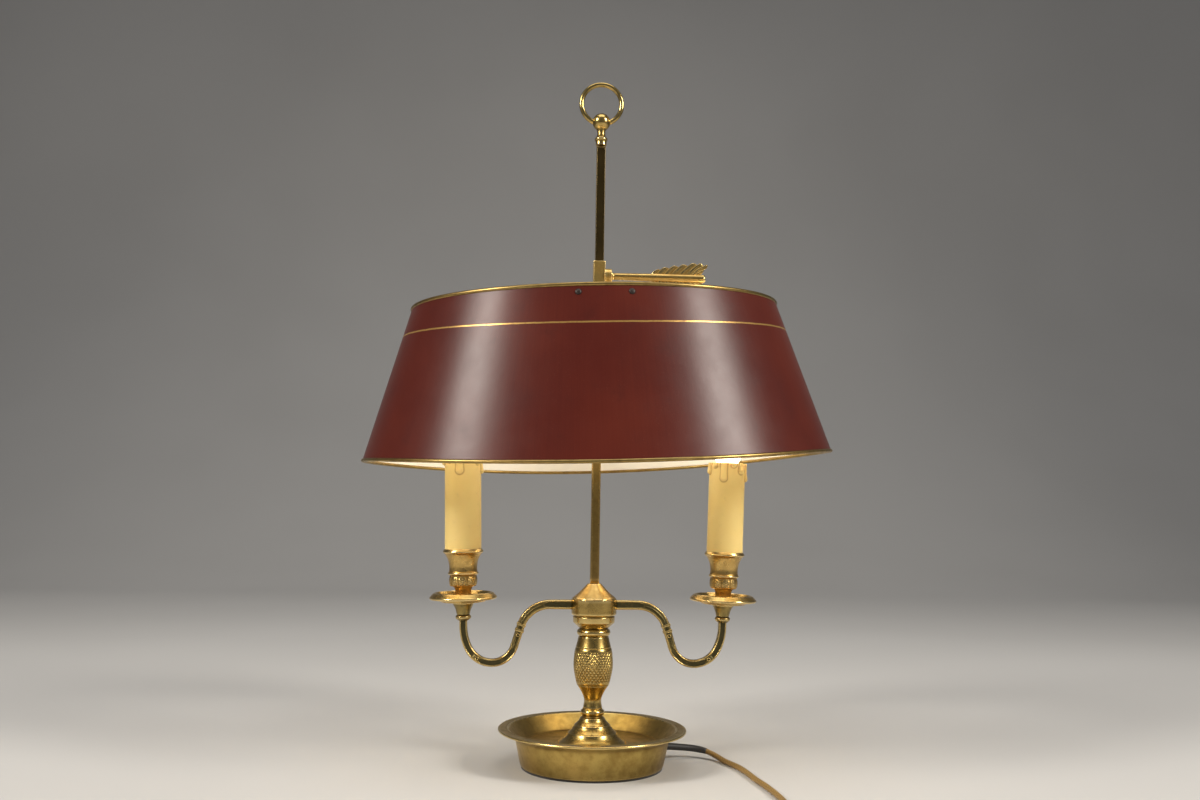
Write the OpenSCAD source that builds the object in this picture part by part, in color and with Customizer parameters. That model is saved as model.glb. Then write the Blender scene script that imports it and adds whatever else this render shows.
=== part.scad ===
// Two-light bouillotte table lamp with a sliding oval shade.
// Origin at the centre of the felt's underside, +Z up, arms along X, shade strap along Y.

/* [Base] */
// Outer radius of the dish flange
dish_r = 69.5; // [66:0.5:84]
// Height of the flange's top face above the table
dish_rim_z = 28; // [25:0.5:33]
// Thickness of the flange
flange_t = 1.7; // [1.4:0.1:2.4]
// Width of the flat flange
flange_w = 7.5; // [5:0.5:9]
// Outer radius of the dish wall where it stands
dish_foot_r = 52.5; // [48:0.5:56]
// Thickness of the dish wall and floor
dish_wall = 2.4; // [2:0.1:3]
// Height of the dish floor's top face
floor_z = 16.5; // [15:0.5:19]
// Thickness of the felt
felt_t = 1.5; // [1:0.25:2]
// Thickness of the steel bottom plate
plate_t = 1.2; // [0.8:0.1:1.6]
// Thickness of the ballast ring
ballast_t = 10.5; // [8:0.5:11]

/* [Turned stack] */
// Radius of the foot where it meets the dish floor
foot_r = 25.3; // [22:0.5:31]
// Radius of the bead on top of the foot
foot_bead_r = 8.9; // [8.4:0.1:10.7]
// Height of the foot's top, where the baluster sits
foot_top_z = 42.3; // [40:0.5:46]
// Radius of the baluster at its widest
baluster_r = 14.6; // [13.5:0.1:17.6]
// Radius of the baluster's neck
baluster_neck_r = 6.4; // [6:0.1:7.7]
// Height of the baluster's top, where the hub sits
baluster_top_z = 94.6; // [90:0.5:114]
// Radius of the hub's drum
hub_r = 16.8; // [16:0.1:20.2]
// Height of the hub above the baluster
hub_h = 27.4; // [26:0.5:33]
// Height of the conical cap
cap_h = 11.3; // [9:0.5:14]
// Radius of the cap's small top face
cap_top_r = 5; // [4.9:0.1:6]
// Outer radius of the threaded centre tube
tube_r = 4; // [3.3:0.1:4.8]
// Radius of the centre tube's bore
tube_bore_r = 2.7; // [2.2:0.1:2.9]

/* [Stem and finial] */
// Width of the square stem bar
stem_w = 6.6; // [5.5:0.1:8]
// Length of the square stem bar
stem_len = 335.5; // [300:1:403]
// Radius of the finial's ball
ball_r = 6.9; // [5.7:0.1:8.3]
// Outer radius of the finger ring
ring_r = 17.5; // [15:0.5:21]
// Radius of the finger ring's wire
ring_wire_r = 1.9; // [1.5:0.1:2.3]

/* [Arms] */
// Distance from the lamp's axis to the top end of an arm
arm_reach = 96.6; // [80:0.5:116]
// Height of the arm's root above the drum's lower edge
arm_root_h = 7.8; // [7:0.1:8]
// Drop from the arm's root to the lowest point of its centreline
arm_drop = 43; // [40:0.5:48]
// Width and height of the arm's section away from the hub
arm_w = 5.7; // [5.4:0.1:6.8]
// Radius of the wire hole through the arm
arm_bore_r = 1.6; // [1.4:0.1:1.7]
// Outward lean of the candle axis, degrees
cup_lean = 1.6; // [0:0.2:3]

/* [Candles] */
// Radius of the drip pan
pan_r = 25; // [22:0.5:30]
// Outer radius of the candle sleeve
candle_r = 13.5; // [11.3:0.1:16.2]
// Length of the candle sleeve
candle_len = 69.2; // [58:0.5:83]
// Wall of the candle sleeve
candle_wall = 1.3; // [1:0.1:1.6]
// Radius of the threaded rod inside the candle
rod_r = 4; // [3.4:0.1:4.6]
// Largest radius of the lamp glass
bulb_r = 17.5; // [14.6:0.5:21]
// Length of the lamp glass
bulb_len = 76; // [64:1:91]

/* [Shade] */
// Half width of the top rim
shade_top_a = 137.7; // [125:0.1:150]
// Half depth of the top rim
shade_top_b = 101.8; // [90:0.1:120]
// Half width of the bottom rim
shade_bot_a = 174.8; // [160:0.1:210]
// Half depth of the bottom rim
shade_bot_b = 133.1; // [120:0.1:160]
// Height between the rims, at the ends
shade_h = 112.3; // [93:0.1:135]
// How far the bottom rim dips at front and back
shade_dip = 8.5; // [0:0.5:12]
// Thickness of the shade's sheet
sheet_t = 0.8; // [0.6:0.1:1.2]
// Radius of the rim beads
bead_r = 1.5; // [1.2:0.1:2]
// Sideways tilt of the shade on its carrier, degrees
shade_lean = 2.2; // [0:0.2:3]
// Sideways offset of the shade from the stem
shade_off = -2.7; // [-4:0.1:4]
// Height of the strap's top face above the table
strap_z = 338; // [300:1:352]
// Width of the strap
strap_w = 14; // [12:0.5:18]
// Thickness of the strap
strap_t = 2; // [1.6:0.1:3]

/* [Carrier and key] */
// Wall of the square sleeve
sleeve_wall = 1.05; // [0.9:0.05:1.6]
// Height of the sleeve above the strap
sleeve_h = 39.5; // [34:0.5:47]
// Height of the key's axis above the strap
key_h = 28.4; // [24:0.2:34]
// Radius of the sleeve's round boss
boss_r = 5.75; // [5:0.05:6.9]
// Radius of the key's screw
key_screw_r = 2.5; // [2:0.1:3]
// Distance from the stem's axis to the key's tail
key_end = 82; // [70:1:82]
// Reach of a vane above the key's axis
vane_h = 12.6; // [10:0.1:15]

/* [Cord] */
// Diameter of the cord
cord_d = 4; // [4:0.1:4.4]
// Diameter of the black sleeve where the cord leaves the wall
cord_sleeve_d = 5; // [5:0.1:5.6]

/* [Fits] */
// Radial clearance of a round fit
fit_gap = 0.05; // [0.03:0.01:0.1]
// Clearance on each side of the stem in its sliding sleeve
slide_gap = 0.15; // [0.1:0.05:0.2]
// Clearance between parts that lie near each other without touching
air_gap = 0.3; // [0.2:0.05:0.5]

/* [Hidden] */

$fn = 96;
brass = [0.72, 0.55, 0.26];
bronze = [0.34, 0.26, 0.12];
steel = [0.6, 0.6, 0.62];
iron = [0.25, 0.25, 0.26];
black = [0.08, 0.07, 0.07];
cream = [0.93, 0.83, 0.6];
gold_cord = [0.62, 0.47, 0.2];

// Heights of the stack
root_z = baluster_top_z + 15.3 + arm_root_h;
hub_top_z = baluster_top_z + hub_h;
stem_z = hub_top_z + cap_h;
stem_top_z = stem_z + stem_len;
tube_end_z = felt_t + plate_t + 2.8;
under_floor_z = floor_z - dish_wall;
bore_r = tube_r + fit_gap;

// The hollow of the hub
hub_wall = 5.2;
cavity_r = hub_r - hub_wall;
cavity_z = baluster_top_z + 9.4;
skirt_h = 2.4;
tenon_r = 2.9;

// The arm's centreline: root, bend, slant, then three arcs of the hook
slant = 73;
bend_r = 23;
hook_in_r = 17;
hook_out_r = 19.5;
rise_r = 38;
rise_angle = 27;
low_z = root_z - arm_drop;
rise_c = [arm_reach - rise_r, low_z + hook_out_r + (rise_r - hook_out_r)*sin(rise_angle)];
hook_out_c = rise_c + (rise_r - hook_out_r)*[cos(rise_angle), -sin(rise_angle)];
hook_in_c = [hook_out_c.x, low_z + hook_in_r];
slant_low = hook_in_c - hook_in_r*[sin(slant), cos(slant)];
bend_low_z = root_z - bend_r*(1 - cos(slant));
slant_high = [slant_low.x - (bend_low_z - slant_low.y)/tan(slant), bend_low_z];
bend_c = [slant_high.x - bend_r*sin(slant), root_z - bend_r];
arm_top = rise_c + rise_r*[cos(cup_lean), -sin(cup_lean)];
arm_end_len = 4;
arm_end = arm_top + arm_end_len*[sin(cup_lean), cos(cup_lean)];

// Heights along the candle axis, from the arm's end
spigot_h = 5;
spigot_r = 3;
ferrule_h = 13.4;
pan_floor_t = 1.6;
pan_crest_h = 20.4;
cup_seat_h = ferrule_h + pan_floor_t;
candle_seat_h = 50;
lip_h = 52.4;
candle_top_h = candle_seat_h + candle_len;
holder_len = 34;
holder_h = candle_top_h - 1.6 - holder_len;
holder_r = candle_r - candle_wall - air_gap - 0.5;
rod_low_h = spigot_h + 0.15;
rod_top_h = holder_h + 5;
cap_low_h = holder_h + 11;
bulb_h = candle_top_h - 0.6;
bulb_neck_r = 7.6;
screw_r = 6.9;
shell_r = 7.7;

// The shade, in the strap's own frame
rim_up = 2.7;
stations = 72;
bead_flat = bead_r*cos(22.5);
tab_t = 1.6;
tab_gap = 0.05;
rivet_r = 1.2;
rivet_drop = 5.5;
sleeve_out = stem_w + 2*slide_gap + 2*sleeve_wall;
foot_plate = [sleeve_out + 7, sleeve_out + 11.5, 1.6];
key_z = strap_z + key_h;
boss_x = sleeve_out/2 + 5.1;

// The cord's exit: its angle round the wall and its height
exit_angle = 20;
exit_z = 10;

// Route of the cord from the wall to the in-line switch, and on to the coil and the plug
lamp_route = [[51.4, 18.7, 10], [59, 21.5, 9.9], [68, 24.7, 8.8], [77, 27.2, 7.6], [84, 27, 6.6],
    [89.5, 24.4, 5.6], [94, 19.8, 4.2], [97.5, 14, 2.9], [100.5, 6, 2.1], [104, -4, 2.05],
    [107.4, -15, 2.05], [110, -32, 2.05], [112, -51, 2.05], [114.8, -68, 2.05], [116.8, -86, 2.05],
    [118, -104, 2.05], [118, -120, 2.05], [118, -134, 2.1], [118, -148, 4], [118, -160, 6.8],
    [118, -168, 8], [118, -174, 8], [118, -184, 8]];
sleeve_points = 6;
mid_route = [[118, -222, 8], [118, -232, 8], [118, -238, 7.9], [118, -245, 6.6], [118, -253, 4.2],
    [118, -261, 2.4], [118, -269, 2.05], [118, -277, 2.05]];
end_route = [[58, -277, 6.05], [58, -268, 5.9], [58, -259, 5], [58, -250, 4.6], [58, -242, 5.8],
    [58, -235, 6.8], [58, -230, 6.85], [58, -224, 6.85]];
exit_r = norm([lamp_route[0].x, lamp_route[0].y]) - 0.1;

// The coil: two full layers of turns and two turns on top, about the middle radius
coil_centre = [88, -285];
coil_mean_r = 24;

// The in-line switch and the plug
switch_at = [118, -203];
switch_len = 56;
switch_w = 19;
switch_split = 8;
switch_h = 15;
switch_wall = 1.8;
rocker_w = 8.4;
rocker_z = 10.6;
rocker_pin_r = 1.2;
rocker_tilt = 8;
cheek_t = 1.6;
plug_at = [58, -230];
plug_len = 36;
plug_w = 34;
plug_h = 13.7;
pin_r = 2;
pin_len = 19;
pin_gap = 18.6;

// Smooth curve through points p, n pieces a span
function mix(a, b, t) = a + (b - a)*t;
function span(a, b, c, d, t) = 0.5*(2*b + (c - a)*t + (2*a - 5*b + 4*c - d)*t*t + (3*b - a - 3*c + d)*t*t*t);
function smooth(p, n) = [
    for (i = [0:len(p) - 2], k = [0:n - 1])
        span(p[max(i - 1, 0)], p[i], p[i + 1], p[min(i + 2, len(p) - 1)], k/n),
    p[len(p) - 1]];
// Points of an arc about c, from angle a to angle b
function arc(c, r, a, b, n = 6) = [for (i = [0:n]) c + r*[cos(mix(a, b, i/n)), sin(mix(a, b, i/n))]];
function unit(v) = v/norm(v);

// A solid through a row of equal sections, closed into a loop or capped at both ends
module loft(sections, loop = false) {
    n = len(sections);
    m = len(sections[0]);
    spans = loop ? n : n - 1;
    sides = [for (i = [0:spans - 1], j = [0:m - 1])
        let (a = i*m + j, b = i*m + (j + 1)%m, k = ((i + 1)%n)*m)
        each [[a, b, k + j], [b, k + (j + 1)%m, k + j]]];
    caps = loop ? [] : [[for (j = [m - 1:-1:0]) j], [for (j = [0:m - 1]) (n - 1)*m + j]];
    polyhedron([for (s = sections) each s], concat(sides, caps), convexity = 8);
}

// A round tube of diameter d along the route p from point a to b; p never runs along the direction up
module cord_tube(p, d, a, b, sides = 8, up = [0, 0, 1]) {
    last = len(p) - 1;
    loft([for (i = [a:b])
        let (t = unit(p[min(i + 1, last)] - p[max(i - 1, 0)]),
            u = unit(cross(t, up)),
            v = cross(t, u))
        [for (j = [0:sides - 1])
            let (turn = 180/sides + j*360/sides)
            p[i] + d/2*(u*cos(turn) - v*sin(turn))]]);
}

module turned(points) {
    rotate_extrude() polygon(points);
}

// Places its children on the candle axis of one arm, side -1 or 1
module at_arm(side) {
    translate([side*arm_end.x, 0, arm_end.y]) rotate([0, side*cup_lean, 0]) children();
}

module shade_frame() {
    translate([0, 0, strap_z]) rotate([0, -shade_lean, 0]) children();
}

// Turns +Z to the direction d
module along(d) {
    rotate([0, acos(d.z/norm(d)), atan2(d.y, d.x)]) children();
}

module felt_pad() {
    color([0.16, 0.3, 0.2]) cylinder(r = dish_foot_r - 0.5, h = felt_t);
}

module bottom_plate() {
    color(steel) translate([0, 0, felt_t])
        cylinder(r = dish_foot_r - dish_wall + 0.9 - air_gap, h = plate_t);
}

// A ring with a slot that lets the cable and its terminal block in
module ballast_ring() {
    color(iron) difference() {
        translate([0, 0, felt_t + plate_t]) cylinder(r = dish_foot_r - dish_wall - 1.6, h = ballast_t);
        cylinder(r = 15, h = floor_z);
        rotate(exit_angle) translate([0, -8.5, 0]) cube([dish_r, 17, floor_z]);
    }
}

module base_dish() {
    wall_top = floor_z + 4;
    flare_r = dish_foot_r + 4.3;
    inner_r = dish_r - flange_w;
    color(brass) difference() {
        turned(concat(
            [[bore_r, under_floor_z], [bore_r, floor_z], [dish_foot_r - 2, floor_z]],
            arc([dish_foot_r - 2, floor_z + 3], 3, -90, -42, 4),
            [[inner_r - 0.8, dish_rim_z - 0.5], [inner_r, dish_rim_z]],
            arc([dish_r - flange_t/2, dish_rim_z - flange_t/2], flange_t/2, 90, -90, 8),
            [[inner_r + 0.2, dish_rim_z - flange_t], [flare_r + 0.6, wall_top + 1.5], [flare_r, wall_top],
                [dish_foot_r, felt_t], [dish_foot_r - dish_wall + 0.9, felt_t],
                [dish_foot_r - dish_wall + 0.9, felt_t + plate_t],
                [dish_foot_r - dish_wall, felt_t + plate_t], [dish_foot_r - 1, under_floor_z]]));
        rotate(exit_angle) translate([dish_foot_r - 12, 0, exit_z]) rotate([0, 90, 0])
            cylinder(r = cord_sleeve_d/2 + 1 + fit_gap, h = 24);
    }
}

// Insulating bush in the hole of the wall
module cord_bush() {
    inside = dish_foot_r - dish_wall - 1.4;
    color(black) rotate(exit_angle) translate([0, 0, exit_z]) rotate([0, 90, 0]) difference() {
        union() {
            translate([0, 0, inside]) cylinder(r = cord_sleeve_d/2 + 1, h = exit_r - inside);
            translate([0, 0, inside]) cylinder(r = cord_sleeve_d/2 + 1.5, h = 1.2);
        }
        translate([0, 0, inside - 1]) cylinder(r = cord_d/2 + fit_gap, h = 12);
    }
}

module terminal_block() {
    color(black) rotate(exit_angle) translate([20, -6, felt_t + plate_t]) difference() {
        cube([14, 12, 10]);
        for (y = [3, 9]) translate([7, y, 7]) cylinder(r = 1.6, h = 4, $fn = 24);
    }
}

// From the bush to the terminal block
module base_cable() {
    start = 34;
    color(gold_cord) rotate(exit_angle) translate([start, 0, exit_z]) rotate([0, 90, 0])
        cylinder(r = cord_d/2 - 0.2, h = exit_r - start);
}

// From the terminal block under the centre tube's end and up to the splice block
module riser_wires() {
    r = 1;
    z = felt_t + plate_t + r + 0.2;
    color(black) {
        rotate(exit_angle) translate([0, 0, z]) rotate([0, 90, 0]) cylinder(r = r, h = 20);
        translate([0, 0, z]) sphere(r);
        translate([0, 0, z]) cylinder(r = r, h = cavity_z + 4 - z);
    }
}

module tube_nut() {
    color(steel) difference() {
        translate([0, 0, under_floor_z - 6]) cylinder(r = tube_r + 4.2, h = 5, $fn = 6);
        cylinder(r = bore_r, h = floor_z);
    }
}

module tube_washer() {
    color(steel) difference() {
        translate([0, 0, under_floor_z - 1]) cylinder(r = tube_r + 6, h = 1);
        cylinder(r = bore_r, h = floor_z);
    }
}

module centre_tube() {
    color(steel) difference() {
        translate([0, 0, tube_end_z]) cylinder(r = tube_r, h = cavity_z + 2 - tube_end_z);
        cylinder(r = tube_bore_r, h = hub_top_z);
    }
}

// Stepped trumpet with a bead on top
module foot() {
    rise = foot_top_z - floor_z;
    function at(r, h) = [r, floor_z + rise*h];
    color(brass) turned(concat(
        [[bore_r, floor_z], [foot_r, floor_z], at(foot_r, 0.05)],
        smooth([at(foot_r - 1.4, 0.09), at(foot_r*0.79, 0.19), at(foot_r*0.71, 0.29)], 3),
        [at(foot_r*0.7, 0.33)],
        smooth([at(foot_r*0.665, 0.35), at(foot_r*0.585, 0.43), at(foot_r*0.53, 0.5)], 3),
        [at(foot_r*0.525, 0.54)],
        smooth([at(foot_r*0.49, 0.56), at(foot_r*0.41, 0.63), at(foot_r*0.37, 0.7)], 3),
        [at(foot_r*0.365, 0.73), at(foot_bead_r*0.87, 0.76)],
        arc([foot_bead_r - 2.3, floor_z + rise*0.885], 2.3, -70, 70, 8),
        [[foot_bead_r*0.8, foot_top_z], [bore_r, foot_top_z]]));
}

// Baluster with two fine scribed lines that border its knurled band
module baluster() {
    h = baluster_top_z - foot_top_z;
    n = baluster_neck_r;
    w = baluster_r;
    top_r = 11.2;
    scribe = 0.35;
    function at(r, t) = [r, foot_top_z + h*t];
    low = smooth([at(n*1.13, 0), at(n, 0.085), at(n*1.06, 0.15), at(mix(n, w, 0.33), 0.245),
        at(mix(n, w, 0.66), 0.319)], 4);
    belly = smooth([at(mix(n, w, 0.68), 0.327), at(mix(n, w, 0.755), 0.365), at(w, 0.572),
        at(mix(top_r, w, 0.84), 0.773), at(mix(top_r, w, 0.6), 0.839)], 5);
    neck = smooth([at(mix(top_r, w, 0.57), 0.847), at(mix(top_r, w, 0.27), 0.92), at(top_r, 1)], 4);
    color(brass) turned(concat(
        [[bore_r, foot_top_z]], low,
        [low[len(low) - 1] + [-scribe, 0.2]], belly,
        [belly[len(belly) - 1] + [-scribe, 0.2]], neck,
        [[bore_r, baluster_top_z]]));
}

// Bead, flare, ring and drum, hollow for the wires, with two tenon holes for the arms
module hub_body() {
    z = baluster_top_z;
    color(brass) difference() {
        turned(concat(
            [[bore_r, z]],
            arc([hub_r - 7.1, z + 2.9], 2.8, -80, 80, 8),
            [[hub_r - 4.9, z + 6.9]],
            smooth([[hub_r - 4.6, z + 7.4], [hub_r - 2.4, z + 9.2], [hub_r - 1.3, z + 10.3]], 3),
            [[hub_r - 1.1, z + 14.4], [hub_r - 1.7, z + 14.7], [hub_r - 1.7, z + 15.2]],
            arc([hub_r - 1.5, z + 16.9], 1.5, -80, 0, 4),
            [[hub_r, z + hub_h], [cavity_r, z + hub_h], [cavity_r, cavity_z], [bore_r, cavity_z]]));
        translate([-hub_r - 1, 0, root_z]) rotate([0, 90, 0])
            cylinder(r = tenon_r + fit_gap, h = 2*hub_r + 2, $fn = 48);
    }
}

module hub_cap() {
    spigot = skirt_h + cap_h + 1;
    color(brass) difference() {
        turned(concat(
            [[stem_w*0.38 + fit_gap, hub_top_z - skirt_h], [cavity_r - fit_gap, hub_top_z - skirt_h],
                [cavity_r - fit_gap, hub_top_z], [hub_r - 0.3, hub_top_z]],
            smooth([[hub_r - 0.4, hub_top_z + 0.6], [mix(hub_r, cap_top_r, 0.42), hub_top_z + 0.37*cap_h],
                [cap_top_r + 0.4, stem_z - 0.5]], 4),
            [[cap_top_r, stem_z], [stem_w*0.38 + fit_gap, stem_z]]));
        translate([0, 0, hub_top_z - spigot]) cylinder(r = stem_w*0.38 + fit_gap, h = 2*spigot);
    }
}

// Stands on the centre tube's end
module splice_block() {
    color(cream) translate([0, 0, cavity_z + 2]) difference() {
        cylinder(r = cavity_r - 6, h = hub_top_z - skirt_h - cavity_z - 2.6);
        translate([0, 0, -1]) cylinder(r = 1 + fit_gap, h = 3.2, $fn = 48);
    }
}

// Square bar with a threaded spigot below and a stud above
module stem_bar() {
    color(bronze) {
        translate([-stem_w/2, -stem_w/2, stem_z]) cube([stem_w, stem_w, stem_len]);
        translate([0, 0, hub_top_z - skirt_h + 1]) cylinder(r = stem_w*0.38, h = skirt_h + cap_h);
        translate([0, 0, stem_top_z - 1]) cylinder(r = stem_w*0.3, h = 6.6);
    }
}

ball_z = stem_top_z + 11.7 + ball_r;
ring_mid_r = ring_r - ring_wire_r;
ring_z = ball_z - 1.2 + ring_mid_r;

module ring_wire(r) {
    translate([0, 0, ring_z]) rotate([90, 0, 0]) rotate_extrude()
        translate([ring_mid_r, 0]) circle(r = r, $fn = 32);
}

module finial() {
    z = stem_top_z;
    stud_r = stem_w*0.3 + fit_gap;
    color(brass) difference() {
        union() {
            turned(concat(
                [[0, z], [stem_w*0.68, z], [stem_w*0.68, z + 1]],
                smooth([[stem_w*0.63, z + 1.6], [stem_w*0.61, z + 3.4], [stem_w*0.68, z + 5.4],
                    [stem_w*0.78, z + 6.8]], 3),
                [[stem_w*0.75, z + 7.4], [stem_w*0.52, z + 7.6], [stem_w*0.47, z + 9.5], [stem_w*0.5, z + 13],
                    [0, z + 13]]));
            translate([0, 0, ball_z]) sphere(ball_r);
        }
        translate([0, 0, z - 1]) cylinder(r = stud_r, h = 7);
        ring_wire(ring_wire_r + fit_gap);
    }
}

module finger_ring() {
    color(brass) ring_wire(ring_wire_r);
}

// The arm's centreline as pairs of a point and its upper side's direction, in the XZ plane
function bend_points(c, r, a, b, n, side) = [for (i = [1:n])
    let (t = mix(a, b, i/n), d = [cos(t), sin(t)])
    [c + r*d, side*d]];
function arm_axis(before, after) = concat(
    [[[hub_r + fit_gap - before, root_z], [0, 1]], [[bend_c.x, root_z], [0, 1]]],
    bend_points(bend_c, bend_r, 90, 90 - slant, 8, 1),
    [[slant_low, [sin(slant), cos(slant)]]],
    bend_points(hook_in_c, hook_in_r, 270 - slant, 270, 6, -1),
    bend_points(hook_out_c, hook_out_r, 270, 360 - rise_angle, 6, -1),
    bend_points(rise_c, rise_r, 360 - rise_angle, 360 - cup_lean, 4, -1),
    [[arm_end + after*[sin(cup_lean), cos(cup_lean)], [-cos(cup_lean), sin(cup_lean)]]]);

// A flat band of width w along the centreline, t thick; wider toward the hub by flare
module arm_band(w, t, flare = 0, over = 0) {
    axis = arm_axis(over, over);
    last = len(axis) - 1;
    half = [for (i = [0:last]) w/2 + flare*max(0, 1 - 2.2*i/last)];
    rotate([90, 0, 0]) linear_extrude(height = t, center = true) polygon(concat(
        [for (i = [0:last]) axis[i][0] + half[i]*axis[i][1]],
        [for (i = [last:-1:0]) axis[i][0] - half[i]*axis[i][1]]));
}

module arm_round(p, a, l, r) {
    translate([p.x, 0, p.y]) rotate([0, 90 - a, 0]) cylinder(r = r, h = l, $fn = 48);
}

// Right arm: a core between two grooved faces, a double knuckle, a tenon, a spigot and the wire passage
module arm() {
    rail = 1.2;
    flare = 0.65;
    knuckle = [2, arm_w + 1, arm_w + 1.3];
    color(brass) difference() {
        union() {
            arm_band(arm_w, arm_w - 1.4, flare);
            arm_band(arm_w - rail, arm_w, flare);
            arm_round([cavity_r + air_gap, root_z], 0, hub_wall + 1, tenon_r);
            arm_round(arm_end - [sin(cup_lean), cos(cup_lean)], 90 - cup_lean, spigot_h + 1, spigot_r);
            for (d = [0.5, 4.5]) translate([slant_high.x, 0, slant_high.y]) rotate([0, slant, 0])
                translate([d, 0, 0]) cube(knuckle, center = true);
        }
        for (face = [-1, 1]) translate([0, face*arm_w/2, 0]) arm_band(arm_w*0.4, 1.4, flare, -2.5);
        arm_band(2*arm_bore_r - 0.2, 2*arm_bore_r - 0.2, 0, 0.6);
        arm_round([cavity_r - 1, root_z], 0, hub_wall + 1.5, arm_bore_r);
        arm_round(arm_end, 90 - cup_lean, spigot_h + 1, arm_bore_r);
    }
}

module arm_left() {
    mirror([1, 0, 0]) arm();
}

module arm_right() {
    arm();
}

module arm_wire() {
    axis = arm_axis(hub_r - cavity_r + 6, rod_top_h - 2);
    path = [for (p = axis) [p[0].x, 0, p[0].y]];
    color(black) cord_tube(path, 2*(arm_bore_r - 0.6), 0, len(path) - 1, 8, [0, 1, 0]);
}

module arm_wire_left() {
    mirror([1, 0, 0]) arm_wire();
}

module arm_wire_right() {
    arm_wire();
}

module ferrule_left() {
    at_arm(-1) ferrule();
}

module ferrule_right() {
    at_arm(1) ferrule();
}

// The ferrule's two bores: the arm's spigot below, the threaded rod above
module ferrule() {
    color(brass) turned(concat(
        [[spigot_r + fit_gap, 0], [4.2, 0]],
        arc([4, 2.3], 1.75, -80, 80, 6),
        smooth([[4.8, 4.3], [5.2, 6], [5.8, 8.2], [7, 10.8], [8.1, 12.4]], 3),
        [[8.1, ferrule_h], [rod_r + fit_gap, ferrule_h], [rod_r + fit_gap, rod_low_h],
            [spigot_r + fit_gap, rod_low_h]]));
}

// Saucer with a raised inner ring and a sloping, rounded flange
module drip_pan() {
    crest_r = pan_r - 4.3;
    h = ferrule_h;
    color(brass) turned(concat(
        [[rod_r + fit_gap, h], [crest_r - 5, h]],
        smooth([[crest_r - 4.4, h + 0.1], [crest_r - 1.6, h + 2.6], [crest_r - 0.2, pan_crest_h - 2.2]], 3),
        [[crest_r + 0.4, pan_crest_h - 2.1], [pan_r - 1.4, h + 2.2]],
        arc([pan_r - 1.1, h + 3.2], 1.1, -100, 60, 6),
        smooth([[crest_r + 1.6, pan_crest_h - 0.6], [crest_r + 0.6, pan_crest_h]], 2),
        [[crest_r, pan_crest_h], [crest_r - 0.6, pan_crest_h - 0.5]],
        smooth([[crest_r - 1.6, pan_crest_h - 2.2], [crest_r - 3.2, h + 2.7],
            [crest_r - 5.6, h + pan_floor_t]], 3),
        [[rod_r + fit_gap, h + pan_floor_t]]));
}

module drip_pan_left() {
    at_arm(-1) drip_pan();
}

module drip_pan_right() {
    at_arm(1) drip_pan();
}

// Neck, leaf band, ring, flared body and lip; the candle sits on its inner ledge
module candle_cup() {
    z = cup_seat_h;
    lip_r = candle_r + fit_gap + 1.1;
    waist_r = candle_r - 3.2;
    well_r = waist_r - 1.5;
    color(brass) turned(concat(
        [[rod_r + fit_gap, z], [6.7, z], [6.7, z + 1]],
        smooth([[6.2, z + 1.8], [5.9, z + 5], [6.3, z + 8.2], [7.2, z + 9.6]], 3),
        [[waist_r - 0.7, z + 10.4], [waist_r - 0.1, z + 11.2], [waist_r, z + 17.4],
            [waist_r + 0.5, z + 18.2]],
        arc([waist_r - 0.1, z + 19.4], 0.95, -45, 60, 4),
        smooth([[waist_r + 0.1, z + 20.6], [waist_r, z + 24], [waist_r + 0.5, z + 27.6],
            [waist_r + 1.4, z + 30.4], [waist_r + 2.9, z + 33.2]], 3),
        [[lip_r - 0.6, z + 33.8], [lip_r, z + 34.6], [lip_r, lip_h - 0.7], [lip_r - 0.5, lip_h],
            [candle_r + fit_gap, lip_h], [candle_r + fit_gap, candle_seat_h],
            [candle_r - candle_wall - 0.7, candle_seat_h], [well_r, candle_seat_h - 1.4],
            [well_r, z + 19], [rod_r + fit_gap, z + 17]]));
}

module candle_cup_left() {
    at_arm(-1) candle_cup();
}

module candle_cup_right() {
    at_arm(1) candle_cup();
}

module candle_rod() {
    color(steel) difference() {
        translate([0, 0, rod_low_h]) cylinder(r = rod_r, h = rod_top_h - rod_low_h);
        cylinder(r = rod_r - 1.2, h = rod_top_h + 1);
    }
}

module candle_rod_left() {
    at_arm(-1) candle_rod();
}

module candle_rod_right() {
    at_arm(1) candle_rod();
}

module lampholder() {
    top = holder_h + holder_len;
    color([0.9, 0.88, 0.82]) turned([[rod_r + fit_gap, holder_h], [holder_r - 2.5, holder_h],
        [holder_r - 1.8, rod_top_h + 2], [holder_r, rod_top_h + 3.5], [holder_r, top],
        [shell_r + fit_gap, top], [shell_r + fit_gap, cap_low_h - 1.6], [1.5, cap_low_h - 1.6],
        [1.5, rod_top_h], [rod_r + fit_gap, rod_top_h]]);
}

module lampholder_left() {
    at_arm(-1) lampholder();
}

module lampholder_right() {
    at_arm(1) lampholder();
}

module screw_shell() {
    color(brass) difference() {
        translate([0, 0, cap_low_h - 1.6]) cylinder(r = shell_r, h = 18);
        translate([0, 0, cap_low_h - 2]) cylinder(r = screw_r + fit_gap, h = 20);
    }
}

module screw_shell_left() {
    at_arm(-1) screw_shell();
}

module screw_shell_right() {
    at_arm(1) screw_shell();
}

// Sleeve with wax drips, each given as its angle and its length
drips = [[20, 14], [75, 8], [128, 15], [190, 6], [238, 13], [283, 17], [330, 7]];

module candle() {
    color(cream) difference() {
        union() {
            translate([0, 0, candle_seat_h]) cylinder(r = candle_r, h = candle_len);
            for (d = drips) rotate(d[0]) translate([candle_r - 0.15, 0, candle_top_h - d[1]])
                rotate_extrude($fn = 24) polygon([[0, -1.2], [0.5, -1.2], [1, 0], [1, d[1]], [0, d[1]]]);
        }
        translate([0, 0, candle_seat_h - 1]) cylinder(r = candle_r - candle_wall, h = candle_len + 2);
    }
}

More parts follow.
